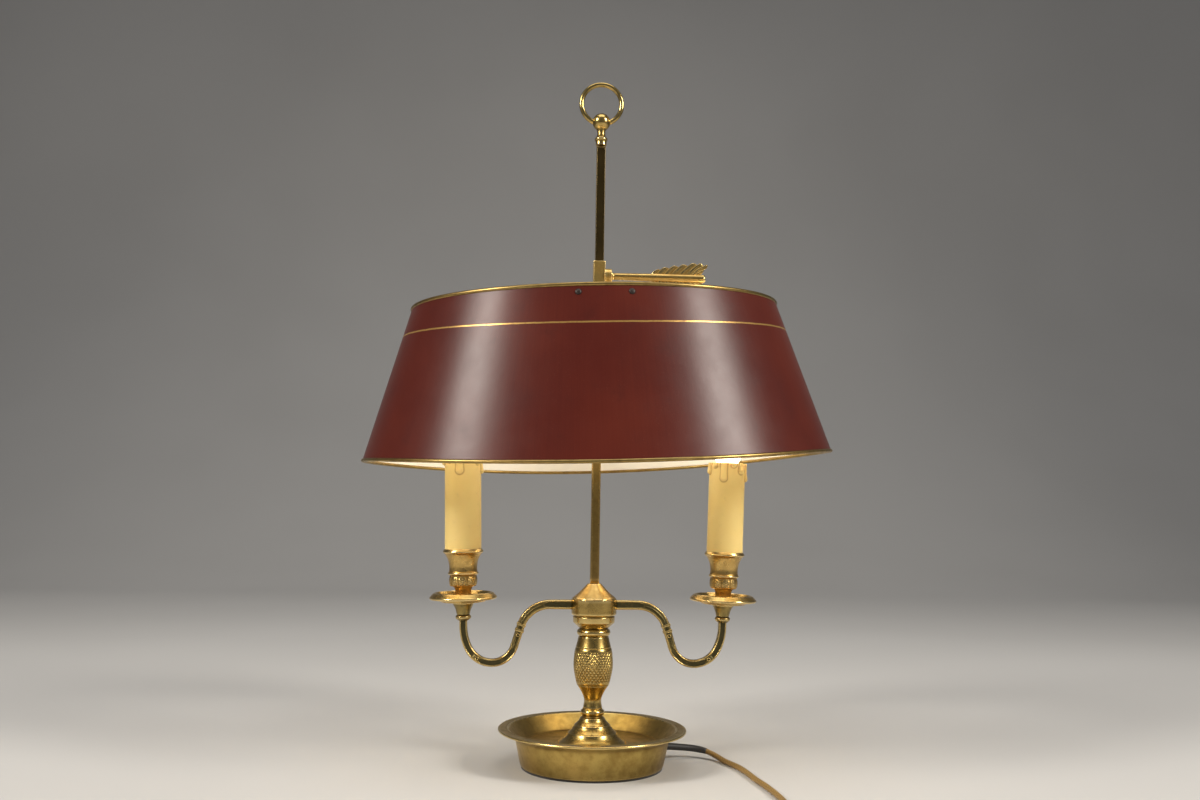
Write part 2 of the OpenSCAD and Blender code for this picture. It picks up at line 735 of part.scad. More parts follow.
module candle_left() {
    at_arm(-1) rotate(180) candle();
}

module candle_right() {
    at_arm(1) candle();
}

module bulb_cap() {
    color(steel) {
        translate([0, 0, cap_low_h]) cylinder(r = screw_r, h = bulb_h - cap_low_h);
        translate([0, 0, cap_low_h - 1.6]) cylinder(r = 3.4, h = 2);
    }
}

module bulb_cap_left() {
    at_arm(-1) bulb_cap();
}

module bulb_cap_right() {
    at_arm(1) bulb_cap();
}

// Thin flame-shaped envelope, open toward the cap
module bulb_glass() {
    function at(r, t) = [r*bulb_r, bulb_h + t*bulb_len];
    inside = smooth([[bulb_neck_r - 1, bulb_h], at(0.5, 0.06), at(0.79, 0.19), at(0.95, 0.37), at(0.85, 0.56),
        at(0.57, 0.73), at(0.26, 0.87), at(0.08, 0.945)], 3);
    color([1, 0.9, 0.7, 0.6]) turned(concat(
        smooth([[bulb_neck_r, bulb_h], at(0.56, 0.06), at(0.84, 0.19), at(1, 0.37), at(0.9, 0.56),
            at(0.62, 0.74), at(0.31, 0.89), at(0.14, 0.97)], 3),
        [at(0, 1), at(0, 0.96)],
        [for (i = [len(inside) - 1:-1:0]) inside[i]]));
}

module bulb_glass_left() {
    at_arm(-1) bulb_glass();
}

module bulb_glass_right() {
    at_arm(1) bulb_glass();
}

// The shade's middle surface: t runs from the bottom rim to the top rim, off is outward
function wall_h(phi) = shade_h + shade_dip*pow(sin(phi), 2);
function wall(phi, t, off = 0) = [
    shade_off + (mix(shade_bot_a, shade_top_a, t) + off)*cos(phi),
    (mix(shade_bot_b, shade_top_b, t) + off)*sin(phi),
    rim_up - wall_h(phi)*(1 - t)];
// Height share of a point that lies d below the top rim, or d above the bottom rim
function below_top(phi, d) = 1 - d/wall_h(phi);
function above_bottom(phi, d) = d/wall_h(phi);
function station(i) = i*360/stations;

rivet_angles = [270 - 7.5, 270 + 7.5, 90 - 7.5, 90 + 7.5];

// Places its children on the wall at a rivet, +Z outward
module at_rivet(phi) {
    half = 180/stations;
    t = below_top(phi, rivet_drop);
    a = wall(phi - half, t);
    b = wall(phi + half, t);
    up = wall(phi, 1) - wall(phi, 0);
    translate((a + b)/2) along(cross(b - a, up)) children();
}

module shade_shell() {
    s = sheet_t/2;
    color([0.3, 0.07, 0.05]) shade_frame() difference() {
        loft([for (i = [0:stations - 1])
            let (phi = station(i), hi = below_top(phi, bead_flat), lo = above_bottom(phi, bead_flat + 0.02))
            [wall(phi, lo, s), wall(phi, hi, s), wall(phi, hi, -s), wall(phi, lo, -s)]], loop = true);
        for (phi = rivet_angles) at_rivet(phi)
            cylinder(r = rivet_r + fit_gap, h = 6, center = true, $fn = 24);
    }
}

module shade_bead(t) {
    color(brass) shade_frame() loft([for (i = [0:stations - 1])
        let (phi = station(i), c = wall(phi, t), out = unit([cos(phi)/shade_bot_a, sin(phi)/shade_bot_b, 0]))
        [for (j = [0:7])
            let (a = 22.5 + j*45)
            c + bead_r*(out*cos(a) + [0, 0, sin(a)])]], loop = true);
}

module shade_top_bead() {
    shade_bead(1);
}

module shade_bottom_bead() {
    shade_bead(0);
}

// Flat bar from front to back; a tab at each end follows the shade's wall
module shade_strap() {
    seat = -sheet_t/2 - tab_gap;
    bar_t = below_top(90, rim_up + strap_t/2);
    end_y = wall(90, bar_t, seat - tab_t/2).y;
    color(brass) shade_frame() difference() {
        union() {
            translate([-strap_w/2, -end_y, -strap_t]) cube([strap_w, 2*end_y, strap_t]);
            for (mid = [90, 270]) loft([for (i = [-2:2])
                let (phi = mid + station(i), hi = below_top(phi, rim_up), lo = below_top(phi, rim_up + 8))
                [wall(phi, lo, seat), wall(phi, hi, seat), wall(phi, hi, seat - tab_t),
                    wall(phi, lo, seat - tab_t)]]);
        }
        cube([sleeve_out + 2*air_gap, sleeve_out + 2*air_gap, 4*strap_t], center = true);
        for (phi = rivet_angles) at_rivet(phi)
            cylinder(r = rivet_r + fit_gap, h = 9, center = true, $fn = 24);
        for (y = [-1, 1]) translate([0, y*(sleeve_out/2 + 3.4), 0])
            cylinder(r = rivet_r + fit_gap, h = 4*strap_t, center = true, $fn = 24);
    }
}

// Four rivets through the wall and its tabs, two through the carrier's foot and the strap
module shade_rivets() {
    inside = sheet_t/2 + tab_gap + tab_t;
    color(iron) shade_frame() {
        for (phi = rivet_angles) at_rivet(phi) {
            translate([0, 0, -inside - 0.8]) cylinder(r = rivet_r, h = inside + 1.6, $fn = 24);
            translate([0, 0, -inside - 0.9]) cylinder(r = 2, h = 0.9, $fn = 24);
            translate([0, 0, sheet_t/2]) cylinder(r1 = 2.3, r2 = 1.5, h = 1, $fn = 24);
        }
        for (y = [-1, 1]) translate([0, y*(sleeve_out/2 + 3.4), 0]) {
            translate([0, 0, -strap_t - 0.5]) cylinder(r = rivet_r, h = strap_t + foot_plate.z + 1, $fn = 24);
            translate([0, 0, -strap_t - 0.8]) cylinder(r = 2, h = 0.8, $fn = 24);
            translate([0, 0, foot_plate.z]) cylinder(r1 = 2.1, r2 = 1.4, h = 0.8, $fn = 24);
        }
    }
}

// Square sleeve that slides on the stem, its riveted foot and the boss for the key
module carrier() {
    bore = stem_w + 2*slide_gap;
    color(brass) difference() {
        union() {
            translate([-sleeve_out/2, -sleeve_out/2, strap_z - strap_t - 1])
                cube([sleeve_out, sleeve_out, sleeve_h + strap_t + 1]);
            shade_frame() translate([-foot_plate.x/2, -foot_plate.y/2, 0]) cube(foot_plate);
            translate([sleeve_out/2 - 0.5, 0, key_z]) rotate([0, 90, 0])
                cylinder(r = boss_r, h = boss_x - sleeve_out/2 + 0.5);
        }
        translate([-bore/2, -bore/2, strap_z - 10]) cube([bore, bore, sleeve_h + 20]);
        translate([0, 0, key_z]) rotate([0, 90, 0]) cylinder(r = key_screw_r + fit_gap, h = boss_x + 1);
        shade_frame() for (y = [-1, 1]) translate([0, y*(sleeve_out/2 + 3.4), 0])
            cylinder(r = rivet_r + fit_gap, h = 4*strap_t, center = true, $fn = 24);
    }
}

// Screw whose handle is an arrow's shaft with a fletched tail
module arrow_key() {
    vane_x = 40.4;
    vane_t = 2.4;
    groove_pitch = 5.4;
    tip = [vane_x + 35.4, vane_h];
    tail = [key_end + 2, vane_h*0.85];
    color(brass) translate([0, 0, key_z]) difference() {
        union() {
            rotate([0, 90, 0]) turned([[0, stem_w/2 + fit_gap], [key_screw_r, stem_w/2 + fit_gap],
                [key_screw_r, boss_x + fit_gap], [2.65, boss_x + fit_gap], [3.2, vane_x], [3.2, key_end - 1],
                [2.4, key_end], [0, key_end]]);
            rotate([90, 0, 0]) linear_extrude(height = vane_t, center = true)
                for (s = [-1, 1]) scale([1, s]) polygon([[vane_x, 0], [vane_x, 3], [vane_x + 1.5, vane_h*0.4],
                    [vane_x + 5.5, vane_h*0.57], [vane_x + 18, vane_h*0.77], tip, tail, [key_end - 2, 3],
                    [key_end - 2, 0]]);
        }
        for (i = [0:5], s = [-1, 1], face = [-1, 1])
            translate([vane_x + 7 + i*groove_pitch, face*vane_t/2, s*3.4]) rotate([0, -s*38, 0])
                translate([0, -0.35, -0.4]) cube([13, 0.7, 0.8]);
    }
}

// The cord, its sleeve and what lies on the table
lamp_path = smooth(lamp_route, 2);
mid_path = smooth(mid_route, 2);
end_path = smooth(end_route, 2);
sleeve_end = 2*(sleeve_points - 1);

module cord_sleeve() {
    color(black) cord_tube(lamp_path, cord_sleeve_d, 0, sleeve_end, 10);
}

module cord_lamp() {
    color(gold_cord) cord_tube(lamp_path, cord_d, sleeve_end, len(lamp_path) - 1);
}

module cord_mid() {
    color(gold_cord) cord_tube(mid_path, cord_d, 0, len(mid_path) - 1);
}

module cord_coil() {
    color(gold_cord) translate([coil_centre.x, coil_centre.y, 0]) rotate_extrude()
        translate([coil_mean_r, 0]) {
            translate([-2*cord_d, 0]) square([4*cord_d, 2*cord_d]);
            translate([-cord_d, 0]) square([2*cord_d, 3*cord_d]);
        }
}

module cord_end() {
    color(gold_cord) cord_tube(end_path, cord_d, 0, len(end_path) - 1);
}

module stadium(l, w) {
    square([w, l - w], center = true);
    for (s = [-1, 1]) translate([0, s*(l - w)/2]) circle(d = w, $fn = 48);
}

module switch_bore() {
    translate([0, 0, switch_split]) rotate([90, 0, 0])
        cylinder(r = cord_d/2 + fit_gap, h = switch_len + 2, center = true, $fn = 48);
}

module switch_base() {
    color(black) translate([switch_at.x, switch_at.y, 0]) difference() {
        linear_extrude(height = switch_split - fit_gap) stadium(switch_len, switch_w);
        translate([0, 0, switch_wall]) linear_extrude(height = switch_split)
            stadium(switch_len - 18, switch_w - 2*switch_wall);
        switch_bore();
    }
}

// Upper half with the rocker's opening and two cheeks that carry its pin
module switch_cover() {
    cheek_x = rocker_w/2 + air_gap;
    color(black) translate([switch_at.x, switch_at.y, 0]) difference() {
        union() {
            difference() {
                union() {
                    translate([0, 0, switch_split]) linear_extrude(height = switch_h - 1.5 - switch_split)
                        stadium(switch_len, switch_w);
                    translate([0, 0, switch_h - 1.5]) linear_extrude(height = 1.5)
                        stadium(switch_len - 3, switch_w - 3);
                }
                translate([0, 0, switch_split - 1])
                    linear_extrude(height = switch_h - switch_wall - switch_split + 1)
                        stadium(switch_len - 18, switch_w - 2*switch_wall);
            }
            for (s = [0, 1]) mirror([s, 0, 0]) translate([cheek_x, -6, switch_split + 0.6])
                cube([cheek_t, 12, switch_h - switch_split - 1.6]);
        }
        translate([-cheek_x, -7.2, switch_split - 1]) cube([2*cheek_x, 14.4, switch_h]);
        translate([0, 0, rocker_z]) rotate([0, 90, 0])
            cylinder(r = rocker_pin_r + fit_gap, h = 2*(cheek_x + cheek_t), center = true, $fn = 48);
        switch_bore();
    }
}

module switch_rocker() {
    color([0.85, 0.8, 0.7]) translate([switch_at.x, switch_at.y, rocker_z]) rotate([rocker_tilt, 0, 0]) {
        translate([-rocker_w/2, 0, 0]) rotate([0, 90, 0]) cylinder(r = 3.2, h = rocker_w, $fn = 48);
        translate([-rocker_w/2, -5.5, 2]) cube([rocker_w, 11, switch_h + 1 - rocker_z - 2]);
        rotate([0, 90, 0])
            cylinder(r = rocker_pin_r, h = 2*(rocker_w/2 + air_gap + cheek_t) - 0.4, center = true, $fn = 48);
    }
}

module plug_body() {
    color(black) translate([plug_at.x, plug_at.y, 0]) difference() {
        linear_extrude(height = plug_h) polygon(concat(
            [[-6, 0], [6, 0]],
            smooth([[7, 2], [8.5, 9], [plug_w/2 - 3, 20], [plug_w/2, plug_len - 8]], 3),
            [[plug_w/2, plug_len - 1], [plug_w/2 - 1, plug_len], [1 - plug_w/2, plug_len],
                [-plug_w/2, plug_len - 1]],
            smooth([[-plug_w/2, plug_len - 8], [3 - plug_w/2, 20], [-8.5, 9], [-7, 2]], 3)));
        translate([0, -1, plug_h/2]) rotate([-90, 0, 0]) cylinder(r = cord_d/2 + fit_gap, h = 7.5, $fn = 48);
        for (s = [-1, 1]) translate([s*pin_gap/2, plug_len - 8, plug_h/2]) rotate([-90, 0, 0])
            cylinder(r = pin_r + fit_gap, h = 10, $fn = 48);
    }
}

module plug_pins() {
    color(steel) for (s = [-1, 1])
        translate([plug_at.x + s*pin_gap/2, plug_at.y + plug_len - 7.8, plug_h/2]) rotate([-90, 0, 0])
            cylinder(r = pin_r, h = pin_len + 7.8, $fn = 48);
}

felt_pad();
bottom_plate();
ballast_ring();
base_dish();
cord_bush();
terminal_block();
base_cable();
riser_wires();
tube_nut();
tube_washer();
centre_tube();
foot();
baluster();
hub_body();
hub_cap();
splice_block();
stem_bar();
finial();
finger_ring();
arm_left();
arm_right();
arm_wire_left();
arm_wire_right();
ferrule_left();
ferrule_right();
drip_pan_left();
drip_pan_right();
candle_cup_left();
candle_cup_right();
candle_rod_left();
candle_rod_right();
lampholder_left();
lampholder_right();
screw_shell_left();
screw_shell_right();
candle_left();
candle_right();
bulb_cap_left();
bulb_cap_right();
bulb_glass_left();
bulb_glass_right();
shade_shell();
shade_top_bead();
shade_bottom_bead();
shade_strap();
shade_rivets();
carrier();
arrow_key();
cord_sleeve();
cord_lamp();
cord_mid();
cord_coil();
cord_end();
switch_base();
switch_cover();
switch_rocker();
plug_body();
plug_pins();
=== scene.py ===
import math

import bmesh
import bpy
from mathutils import Matrix, Vector


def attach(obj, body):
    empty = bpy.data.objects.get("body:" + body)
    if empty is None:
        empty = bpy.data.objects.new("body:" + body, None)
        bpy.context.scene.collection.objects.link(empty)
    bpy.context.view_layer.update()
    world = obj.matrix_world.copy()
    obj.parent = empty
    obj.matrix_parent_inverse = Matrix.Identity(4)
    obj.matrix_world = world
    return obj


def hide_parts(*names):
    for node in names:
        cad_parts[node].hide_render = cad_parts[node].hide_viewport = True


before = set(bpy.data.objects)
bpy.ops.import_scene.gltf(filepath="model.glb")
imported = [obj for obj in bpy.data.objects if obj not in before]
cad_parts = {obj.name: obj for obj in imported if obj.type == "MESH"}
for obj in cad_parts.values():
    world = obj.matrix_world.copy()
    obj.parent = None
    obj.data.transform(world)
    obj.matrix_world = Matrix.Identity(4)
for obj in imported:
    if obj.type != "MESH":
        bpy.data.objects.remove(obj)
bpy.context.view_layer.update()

print("frame loaded:", len(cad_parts), "nodes")
mm = 0.001     # the lamp's sizes are in mm; camera, floor and lights are in metres
bore = 4.05    # radius of the hole for the centre tube and the candle rods


class Wire:
    # one output socket that can be added to, scaled and blended like a number
    def __init__(self, paint, socket):
        self.paint, self.socket = paint, socket

    def calc(self, operation, *others):
        return self.paint.add("ShaderNodeMath", {"operation": operation}, (self,) + others)

    def __add__(self, other):
        return self.calc("ADD", other)

    __radd__ = __add__

    def __mul__(self, other):
        return self.calc("MULTIPLY", other)

    __rmul__ = __mul__

    def __sub__(self, other):
        return self.calc("SUBTRACT", other)

    def __rsub__(self, other):
        return self.paint.add("ShaderNodeMath", {"operation": "SUBTRACT"}, (other, self))

    def __truediv__(self, other):
        return self.calc("DIVIDE", other)

    def __rtruediv__(self, other):
        return self.paint.add("ShaderNodeMath", {"operation": "DIVIDE"}, (other, self))

    def __pow__(self, other):
        return self.calc("POWER", other)

    def __abs__(self):
        return self.calc("ABSOLUTE")

    def clip(self):
        return self.calc("MINIMUM", 1.0).calc("MAXIMUM", 0.0)

    # 0 below low, 1 above high, smooth between
    def ramp(self, low, high):
        return self.paint.add("ShaderNodeMapRange", {"interpolation_type": "SMOOTHSTEP"},
                              {"Value": self, "From Min": low, "From Max": high})


class Paint:
    # one procedural material and the nodes in it
    def __init__(self, name):
        self.material = bpy.data.materials.new(name)
        self.material.use_nodes = True
        self.tree = self.material.node_tree
        self.tree.nodes.clear()
        self.spot = self.add("ShaderNodeTexCoord", output="Object")

    # the settings come first, then the values or links of the sockets
    def add(self, kind, settings=None, sockets=(), output=0):
        node = self.tree.nodes.new(kind)
        for key, value in (settings or {}).items():
            setattr(node, key, value)
        pairs = sockets.items() if isinstance(sockets, dict) else enumerate(sockets)
        for key, value in pairs:
            if isinstance(value, Wire):
                self.tree.links.new(value.socket, node.inputs[key])
            else:
                node.inputs[key].default_value = value
        return Wire(self, node.outputs[output]) if len(node.outputs) else node

    def xyz(self):
        split = self.add("ShaderNodeSeparateXYZ", None, [self.spot]).socket.node
        return [Wire(self, split.outputs[k]) for k in range(3)]

    def vector(self, x, y, z):
        return self.add("ShaderNodeCombineXYZ", None, [x, y, z])

    def noise(self, scale, detail, rough=0.5, vector=None):
        return self.add("ShaderNodeTexNoise", None,
                        {"Vector": vector or self.spot, "Scale": scale, "Detail": detail, "Roughness": rough})

    # from colour a to colour b; a Mix node keeps its colours in sockets 6 and 7 and gives them at 2
    def blend(self, share, a, b):
        a, b = (colour if isinstance(colour, Wire) else (*colour, 1.0) for colour in (a, b))
        return self.add("ShaderNodeMix", {"data_type": "RGBA"}, {0: share, 6: a, 7: b}, 2)

    def attribute(self, name):
        return self.add("ShaderNodeAttribute", {"attribute_name": name}, output="Fac")

    def bump(self, height, distance, strength):
        sockets = {"Height": height, "Distance": distance, "Strength": strength}
        return self.add("ShaderNodeBump", None, sockets)

    # the surface shader with its sockets by name, then the material output
    def surface(self, **sockets):
        named = {key.replace("_", " "): value for key, value in sockets.items()}
        shader = self.add("ShaderNodeBsdfPrincipled", None, named)
        self.add("ShaderNodeOutputMaterial", None, {"Surface": shader})
        return self.material


def between(a, b, t):
    return a + (b - a)*t


def smoothStep(low, high, x):
    t = min(max((x - low)/(high - low), 0), 1)
    return t*t*(3 - 2*t)


# smooth line through points, n pieces a span
def flow(points, n):
    last = len(points) - 1
    size = len(points[0])
    line = []
    for i in range(last):
        a, b = points[max(i - 1, 0)], points[i]
        c, d = points[i + 1], points[min(i + 2, last)]
        for k in range(n):
            t = k/n
            line.append(tuple(0.5*(2*b[j] + (c[j] - a[j])*t + (2*a[j] - 5*b[j] + 4*c[j] - d[j])*t*t
                                   + (3*b[j] - a[j] - 3*c[j] + d[j])*t**3) for j in range(size)))
    line.append(tuple(points[last]))
    return line


# sections of equal length, closed into a loop or capped at both ends
def loft(sections, loop=False):
    count, sides = len(sections), len(sections[0])
    verts = [p for section in sections for p in section]
    faces = []
    for i in range(count if loop else count - 1):
        j = (i + 1) % count
        for k in range(sides):
            n = (k + 1) % sides
            faces.append((i*sides + k, i*sides + n, j*sides + n, j*sides + k))
    if not loop:
        faces.append(tuple(range(sides)))
        faces.append(tuple(reversed(range((count - 1)*sides, count*sides))))
    return verts, faces


# rings along a 3-D path; radius is a number or one number a point
def tubeMesh(path, radius, sides):
    rings, along = [], []
    count = len(path)
    radii = radius if isinstance(radius, list) else [radius]*count
    side = None
    total = 0.0
    for i, p in enumerate(path):
        p = Vector(p)
        ahead = (Vector(path[min(i + 1, count - 1)]) - Vector(path[max(i - 1, 0)])).normalized()
        if side is None:
            side = ahead.cross(Vector((0, 0, 1))).normalized()
        side = (side - ahead*side.dot(ahead)).normalized()
        up = side.cross(ahead)
        total += (p - Vector(path[i - 1])).length if i else 0.0
        along.append(total)
        turns = [2*math.pi*k/sides for k in range(sides)]
        rings.append([p + radii[i]*(side*math.cos(turn) + up*math.sin(turn)) for turn in turns])
    return (*loft(rings), along)


# n + 1 points of a circle, angles in degrees
def arc(centre, radius, start, end, n):
    turns = [math.radians(between(start, end, i/n)) for i in range(n + 1)]
    return [(centre[0] + radius*math.cos(turn), centre[1] + radius*math.sin(turn)) for turn in turns]


# a corner given as (r, z, f) is rounded with f mm of its two sides
def soften(points, closed=True):
    out = []
    count = len(points)
    for i, p in enumerate(points):
        corner = Vector(p[:2])
        if len(p) == 2 or not (closed or 0 < i < count - 1):
            out.append(corner)
            continue
        before = Vector(points[i - 1][:2]) - corner
        after = Vector(points[(i + 1) % count][:2]) - corner
        a = corner + before.normalized()*min(p[2], before.length*0.45)
        b = corner + after.normalized()*min(p[2], after.length*0.45)
        for t in (0, 0.25, 0.5, 0.75, 1):
            out.append(a*(1 - t)**2 + corner*2*t*(1 - t) + b*t*t)
    return out


# extra points on long straight sides, close to their corners and then even
def support(points, closed, near=0.35, step=3.0):
    out = []
    count = len(points)
    for i in range(count if closed else count - 1):
        a, b = points[i], points[(i + 1) % count]
        out.append(a)
        span = (b - a).length
        if span > 4*near:
            n = max(1, math.ceil((span - 2*near)/step))
            for t in [near + (span - 2*near)*k/n for k in range(n + 1)]:
                out.append(a + (b - a)*(t/span))
    if not closed:
        out.append(points[-1])
    return out


sharpTurn = 0.9     # radians of turning that count as a full ridge or groove


# how far each point stands on a ridge (up to 1) or in a groove (down to -1)
def crests(points, closed, reach=0.7):
    count = len(points)
    area = sum(points[i - 1].x*points[i].y - points[i].x*points[i - 1].y for i in range(count))
    sign = 1 if area > 0 else -1
    place, turn = [0.0], []
    for i in range(1, count):
        place.append(place[-1] + (points[i] - points[i - 1]).length)
    total = place[-1] + (points[0] - points[-1]).length
    for i in range(count):
        if not closed and i in (0, count - 1):
            turn.append(0.0)
            continue
        a, b = points[i] - points[i - 1], points[(i + 1) % count] - points[i]
        turn.append(sign*math.atan2(a.x*b.y - a.y*b.x, a.dot(b)))
    out = []
    for i in range(count):
        value = 0.0
        for j in range(count):
            gap = abs(place[i] - place[j])
            if closed:
                gap = min(gap, total - gap)
            if gap < 3*reach:
                value += turn[j]*math.exp(-(gap/reach)**2)
        out.append(max(-1.0, min(1.0, value/sharpTurn)))
    return out


# turns a profile in mm about Z; shape(r, z, turn, crest) may move a point and change its crest
def lathe(profile, steps, shape=None, reach=0.7, step=3.0):
    onAxis = profile[0][0] == 0 and profile[-1][0] == 0
    points = support(soften(profile, not onAxis), not onAxis, step=step)
    ridge = crests(points, not onAxis, reach)
    verts, faces, crest, rows = [], [], [], []
    for p, c in zip(points, ridge):
        if p.x < 1e-6:
            rows.append([len(verts)])
            verts.append((0, 0, p.y*mm))
            crest.append(c)
            continue
        rows.append(list(range(len(verts), len(verts) + steps)))
        for k in range(steps):
            turn = 2*math.pi*k/steps
            r, z, h = shape(p.x, p.y, turn, c) if shape else (p.x, p.y, c)
            verts.append((r*math.cos(turn)*mm, r*math.sin(turn)*mm, z*mm))
            crest.append(h)
    pairs = list(zip(rows, rows[1:])) + ([] if onAxis else [(rows[-1], rows[0])])
    for a, b in pairs:
        for k in range(steps):
            n = (k + 1) % steps
            if len(a) == 1:
                faces.append((a[0], b[n], b[k]))
            elif len(b) == 1:
                faces.append((a[k], a[n], b[0]))
            else:
                faces.append((a[k], a[n], b[n], b[k]))
    return verts, faces, crest


# several (verts, faces, crest) lists as one
def joined(*parts):
    verts, faces, crest = [], [], []
    for part in parts:
        base = len(verts)
        verts += list(part[0])
        faces += [tuple(base + k for k in face) for face in part[1]]
        crest += list(part[2]) if len(part) > 2 else [0.0]*len(part[0])
    return verts, faces, crest


# the same part after a move
def moved(part, matrix):
    return ([matrix @ Vector(v) for v in part[0]],) + tuple(part[1:])


# a box with softened edges, from its two corners in mm
def softBox(low, high, soft=0.4, rings=3):
    lo, hi = Vector(low), Vector(high)
    half, centre = (hi - lo)/2, (hi + lo)/2
    work = bmesh.new()
    bmesh.ops.create_cube(work, size=2)
    for v in work.verts:
        v.co = Vector([v.co[k]*half[k] + centre[k] for k in range(3)])*mm
    bmesh.ops.bevel(work, geom=list(work.edges), offset=soft*mm, segments=rings, profile=0.5,
                    affect="EDGES", clamp_overlap=True)
    work.verts.index_update()
    part = ([v.co.copy() for v in work.verts], [tuple(v.index for v in f.verts) for f in work.faces])
    work.free()
    centre = centre*mm
    crest = []
    for v in part[0]:
        near = sorted(abs(abs(v[k] - centre[k]) - half[k]*mm) for k in range(3))
        crest.append(0.8 if near[1] < soft*mm*1.01 else 0.0)
    return part[0], part[1], crest


def buildPiece(name, verts, faces, crest=None):
    mesh = bpy.data.meshes.new(name)
    mesh.from_pydata([tuple(v) for v in verts], [], faces)
    mesh.update()
    work = bmesh.new()
    work.from_mesh(mesh)
    bmesh.ops.recalc_face_normals(work, faces=work.faces)
    work.to_mesh(mesh)
    work.free()
    if crest:
        keepValues(mesh, "crest", crest)
    for polygon in mesh.polygons:
        polygon.use_smooth = True
    piece = bpy.data.objects.new(name, mesh)
    bpy.context.scene.collection.objects.link(piece)
    return piece


# one number a point, for the materials
def keepValues(mesh, name, values):
    mesh.attributes.new(name, "FLOAT", "POINT").data.foreach_set("value", values)


# the material, the body it moves with and the nodes it stands for
def mount(piece, body, slotName, finish, *nodes):
    piece.data.materials.clear()
    piece.data.materials.append(paintBook[finish])
    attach(piece, body)
    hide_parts(*nodes)


def addPiece(name, part, place, *mounting):
    piece = buildPiece(name, *part)
    piece.matrix_world = place
    mount(piece, *mounting)
    return piece


# a place in mm and a turn in degrees about one axis
def placeAt(x=0, y=0, z=0, degrees=0, axis="Y"):
    return Matrix.Translation((x*mm, y*mm, z*mm)) @ Matrix.Rotation(math.radians(degrees), 4, axis)


camera = {"place": (-0.058, -0.858, 0.1919), "turn": 4.009, "pitch": 5.26, "roll": 0.864, "lens": 34.15,
          "film": 36, "near": 0.02, "far": 30}


def setCamera(c):
    turn, pitch, roll = (math.radians(c[k]) for k in ("turn", "pitch", "roll"))
    ahead = Vector((math.sin(turn)*math.cos(pitch), math.cos(turn)*math.cos(pitch), math.sin(pitch)))
    flat = Vector((math.cos(turn), -math.sin(turn), 0))
    up = flat.cross(ahead)
    right = flat*math.cos(roll) + up*math.sin(roll)
    top = up*math.cos(roll) - flat*math.sin(roll)
    data = bpy.data.cameras.new("camera")
    data.lens, data.sensor_width = c["lens"], c["film"]
    data.clip_start, data.clip_end = c["near"], c["far"]
    eye = bpy.data.objects.new("camera", data)
    eye.matrix_world = Matrix.Translation(c["place"]) @ Matrix((right, top, -ahead)).transposed().to_4x4()
    bpy.context.scene.collection.objects.link(eye)
    bpy.context.scene.camera = eye


setCamera(camera)
print("camera done")

# colour where the brass is clean, aged, and rubbed and lit on its edges (wear with a painted highlight), how
# rough and how aged it is, and its turning lines
brassLooks = {
    "dishBrass": ((0.57, 0.390, 0.118), (0.250, 0.152, 0.038), (0.86, 0.65, 0.28), 0.35, 0.64, 1.0),
    "turnedBrass": ((0.57, 0.395, 0.128), (0.235, 0.155, 0.044), (0.86, 0.67, 0.32), 0.27, 0.66, 0.7),
    "goldBrass": ((0.66, 0.435, 0.145), (0.34, 0.200, 0.055), (0.90, 0.69, 0.33), 0.31, 0.58, 0.6),
    "castBrass": ((0.37, 0.265, 0.092), (0.088, 0.076, 0.036), (0.80, 0.59, 0.25), 0.35, 1.0, 0.0),
    "plainBrass": ((0.56, 0.39, 0.145), (0.26, 0.17, 0.055), (0.80, 0.60, 0.28), 0.29, 0.6, 0.0),
    "beadBrass": ((0.42, 0.28, 0.095), (0.15, 0.092, 0.030), (0.70, 0.50, 0.20), 0.36, 0.7, 0.0),
    "ringBrass": ((0.60, 0.42, 0.15), (0.26, 0.17, 0.052), (0.80, 0.60, 0.28), 0.22, 0.6, 0.0),
    "carrierBrass": ((0.66, 0.43, 0.13), (0.36, 0.21, 0.055), (0.86, 0.64, 0.28), 0.42, 0.7, 0.0),
    "stemBronze": ((0.36, 0.235, 0.075), (0.15, 0.092, 0.028), (0.66, 0.46, 0.18), 0.34, 0.7, 0.0),
}
# scale, detail and roughness of each noise in the brass; "lines" are its turning lines, by their pitch
brassGrain = {"cloud": (26, 4, 0.6), "patch": (150, 3, 0.6), "speck": (1100, 2), "olive": (11, 3, 0.6),
              "wipes": (420, 3, 0.55), "lines": (1.0, 2, 0.6), "linePitch": 2400}
oliveTint = (0.80, 0.92, 0.95)     # what is left of the clean colour in the olive patches
# colour and heights in metres of the painted shade low on the dish toward the floor, and of the bar above the
# shade
dishLowShade = {"tone": (0.115, 0.066, 0.022), "fade": (0.001, 0.016)}
stemBlack = {"tone": (0.085, 0.058, 0.022), "fade": (0.36, 0.385)}


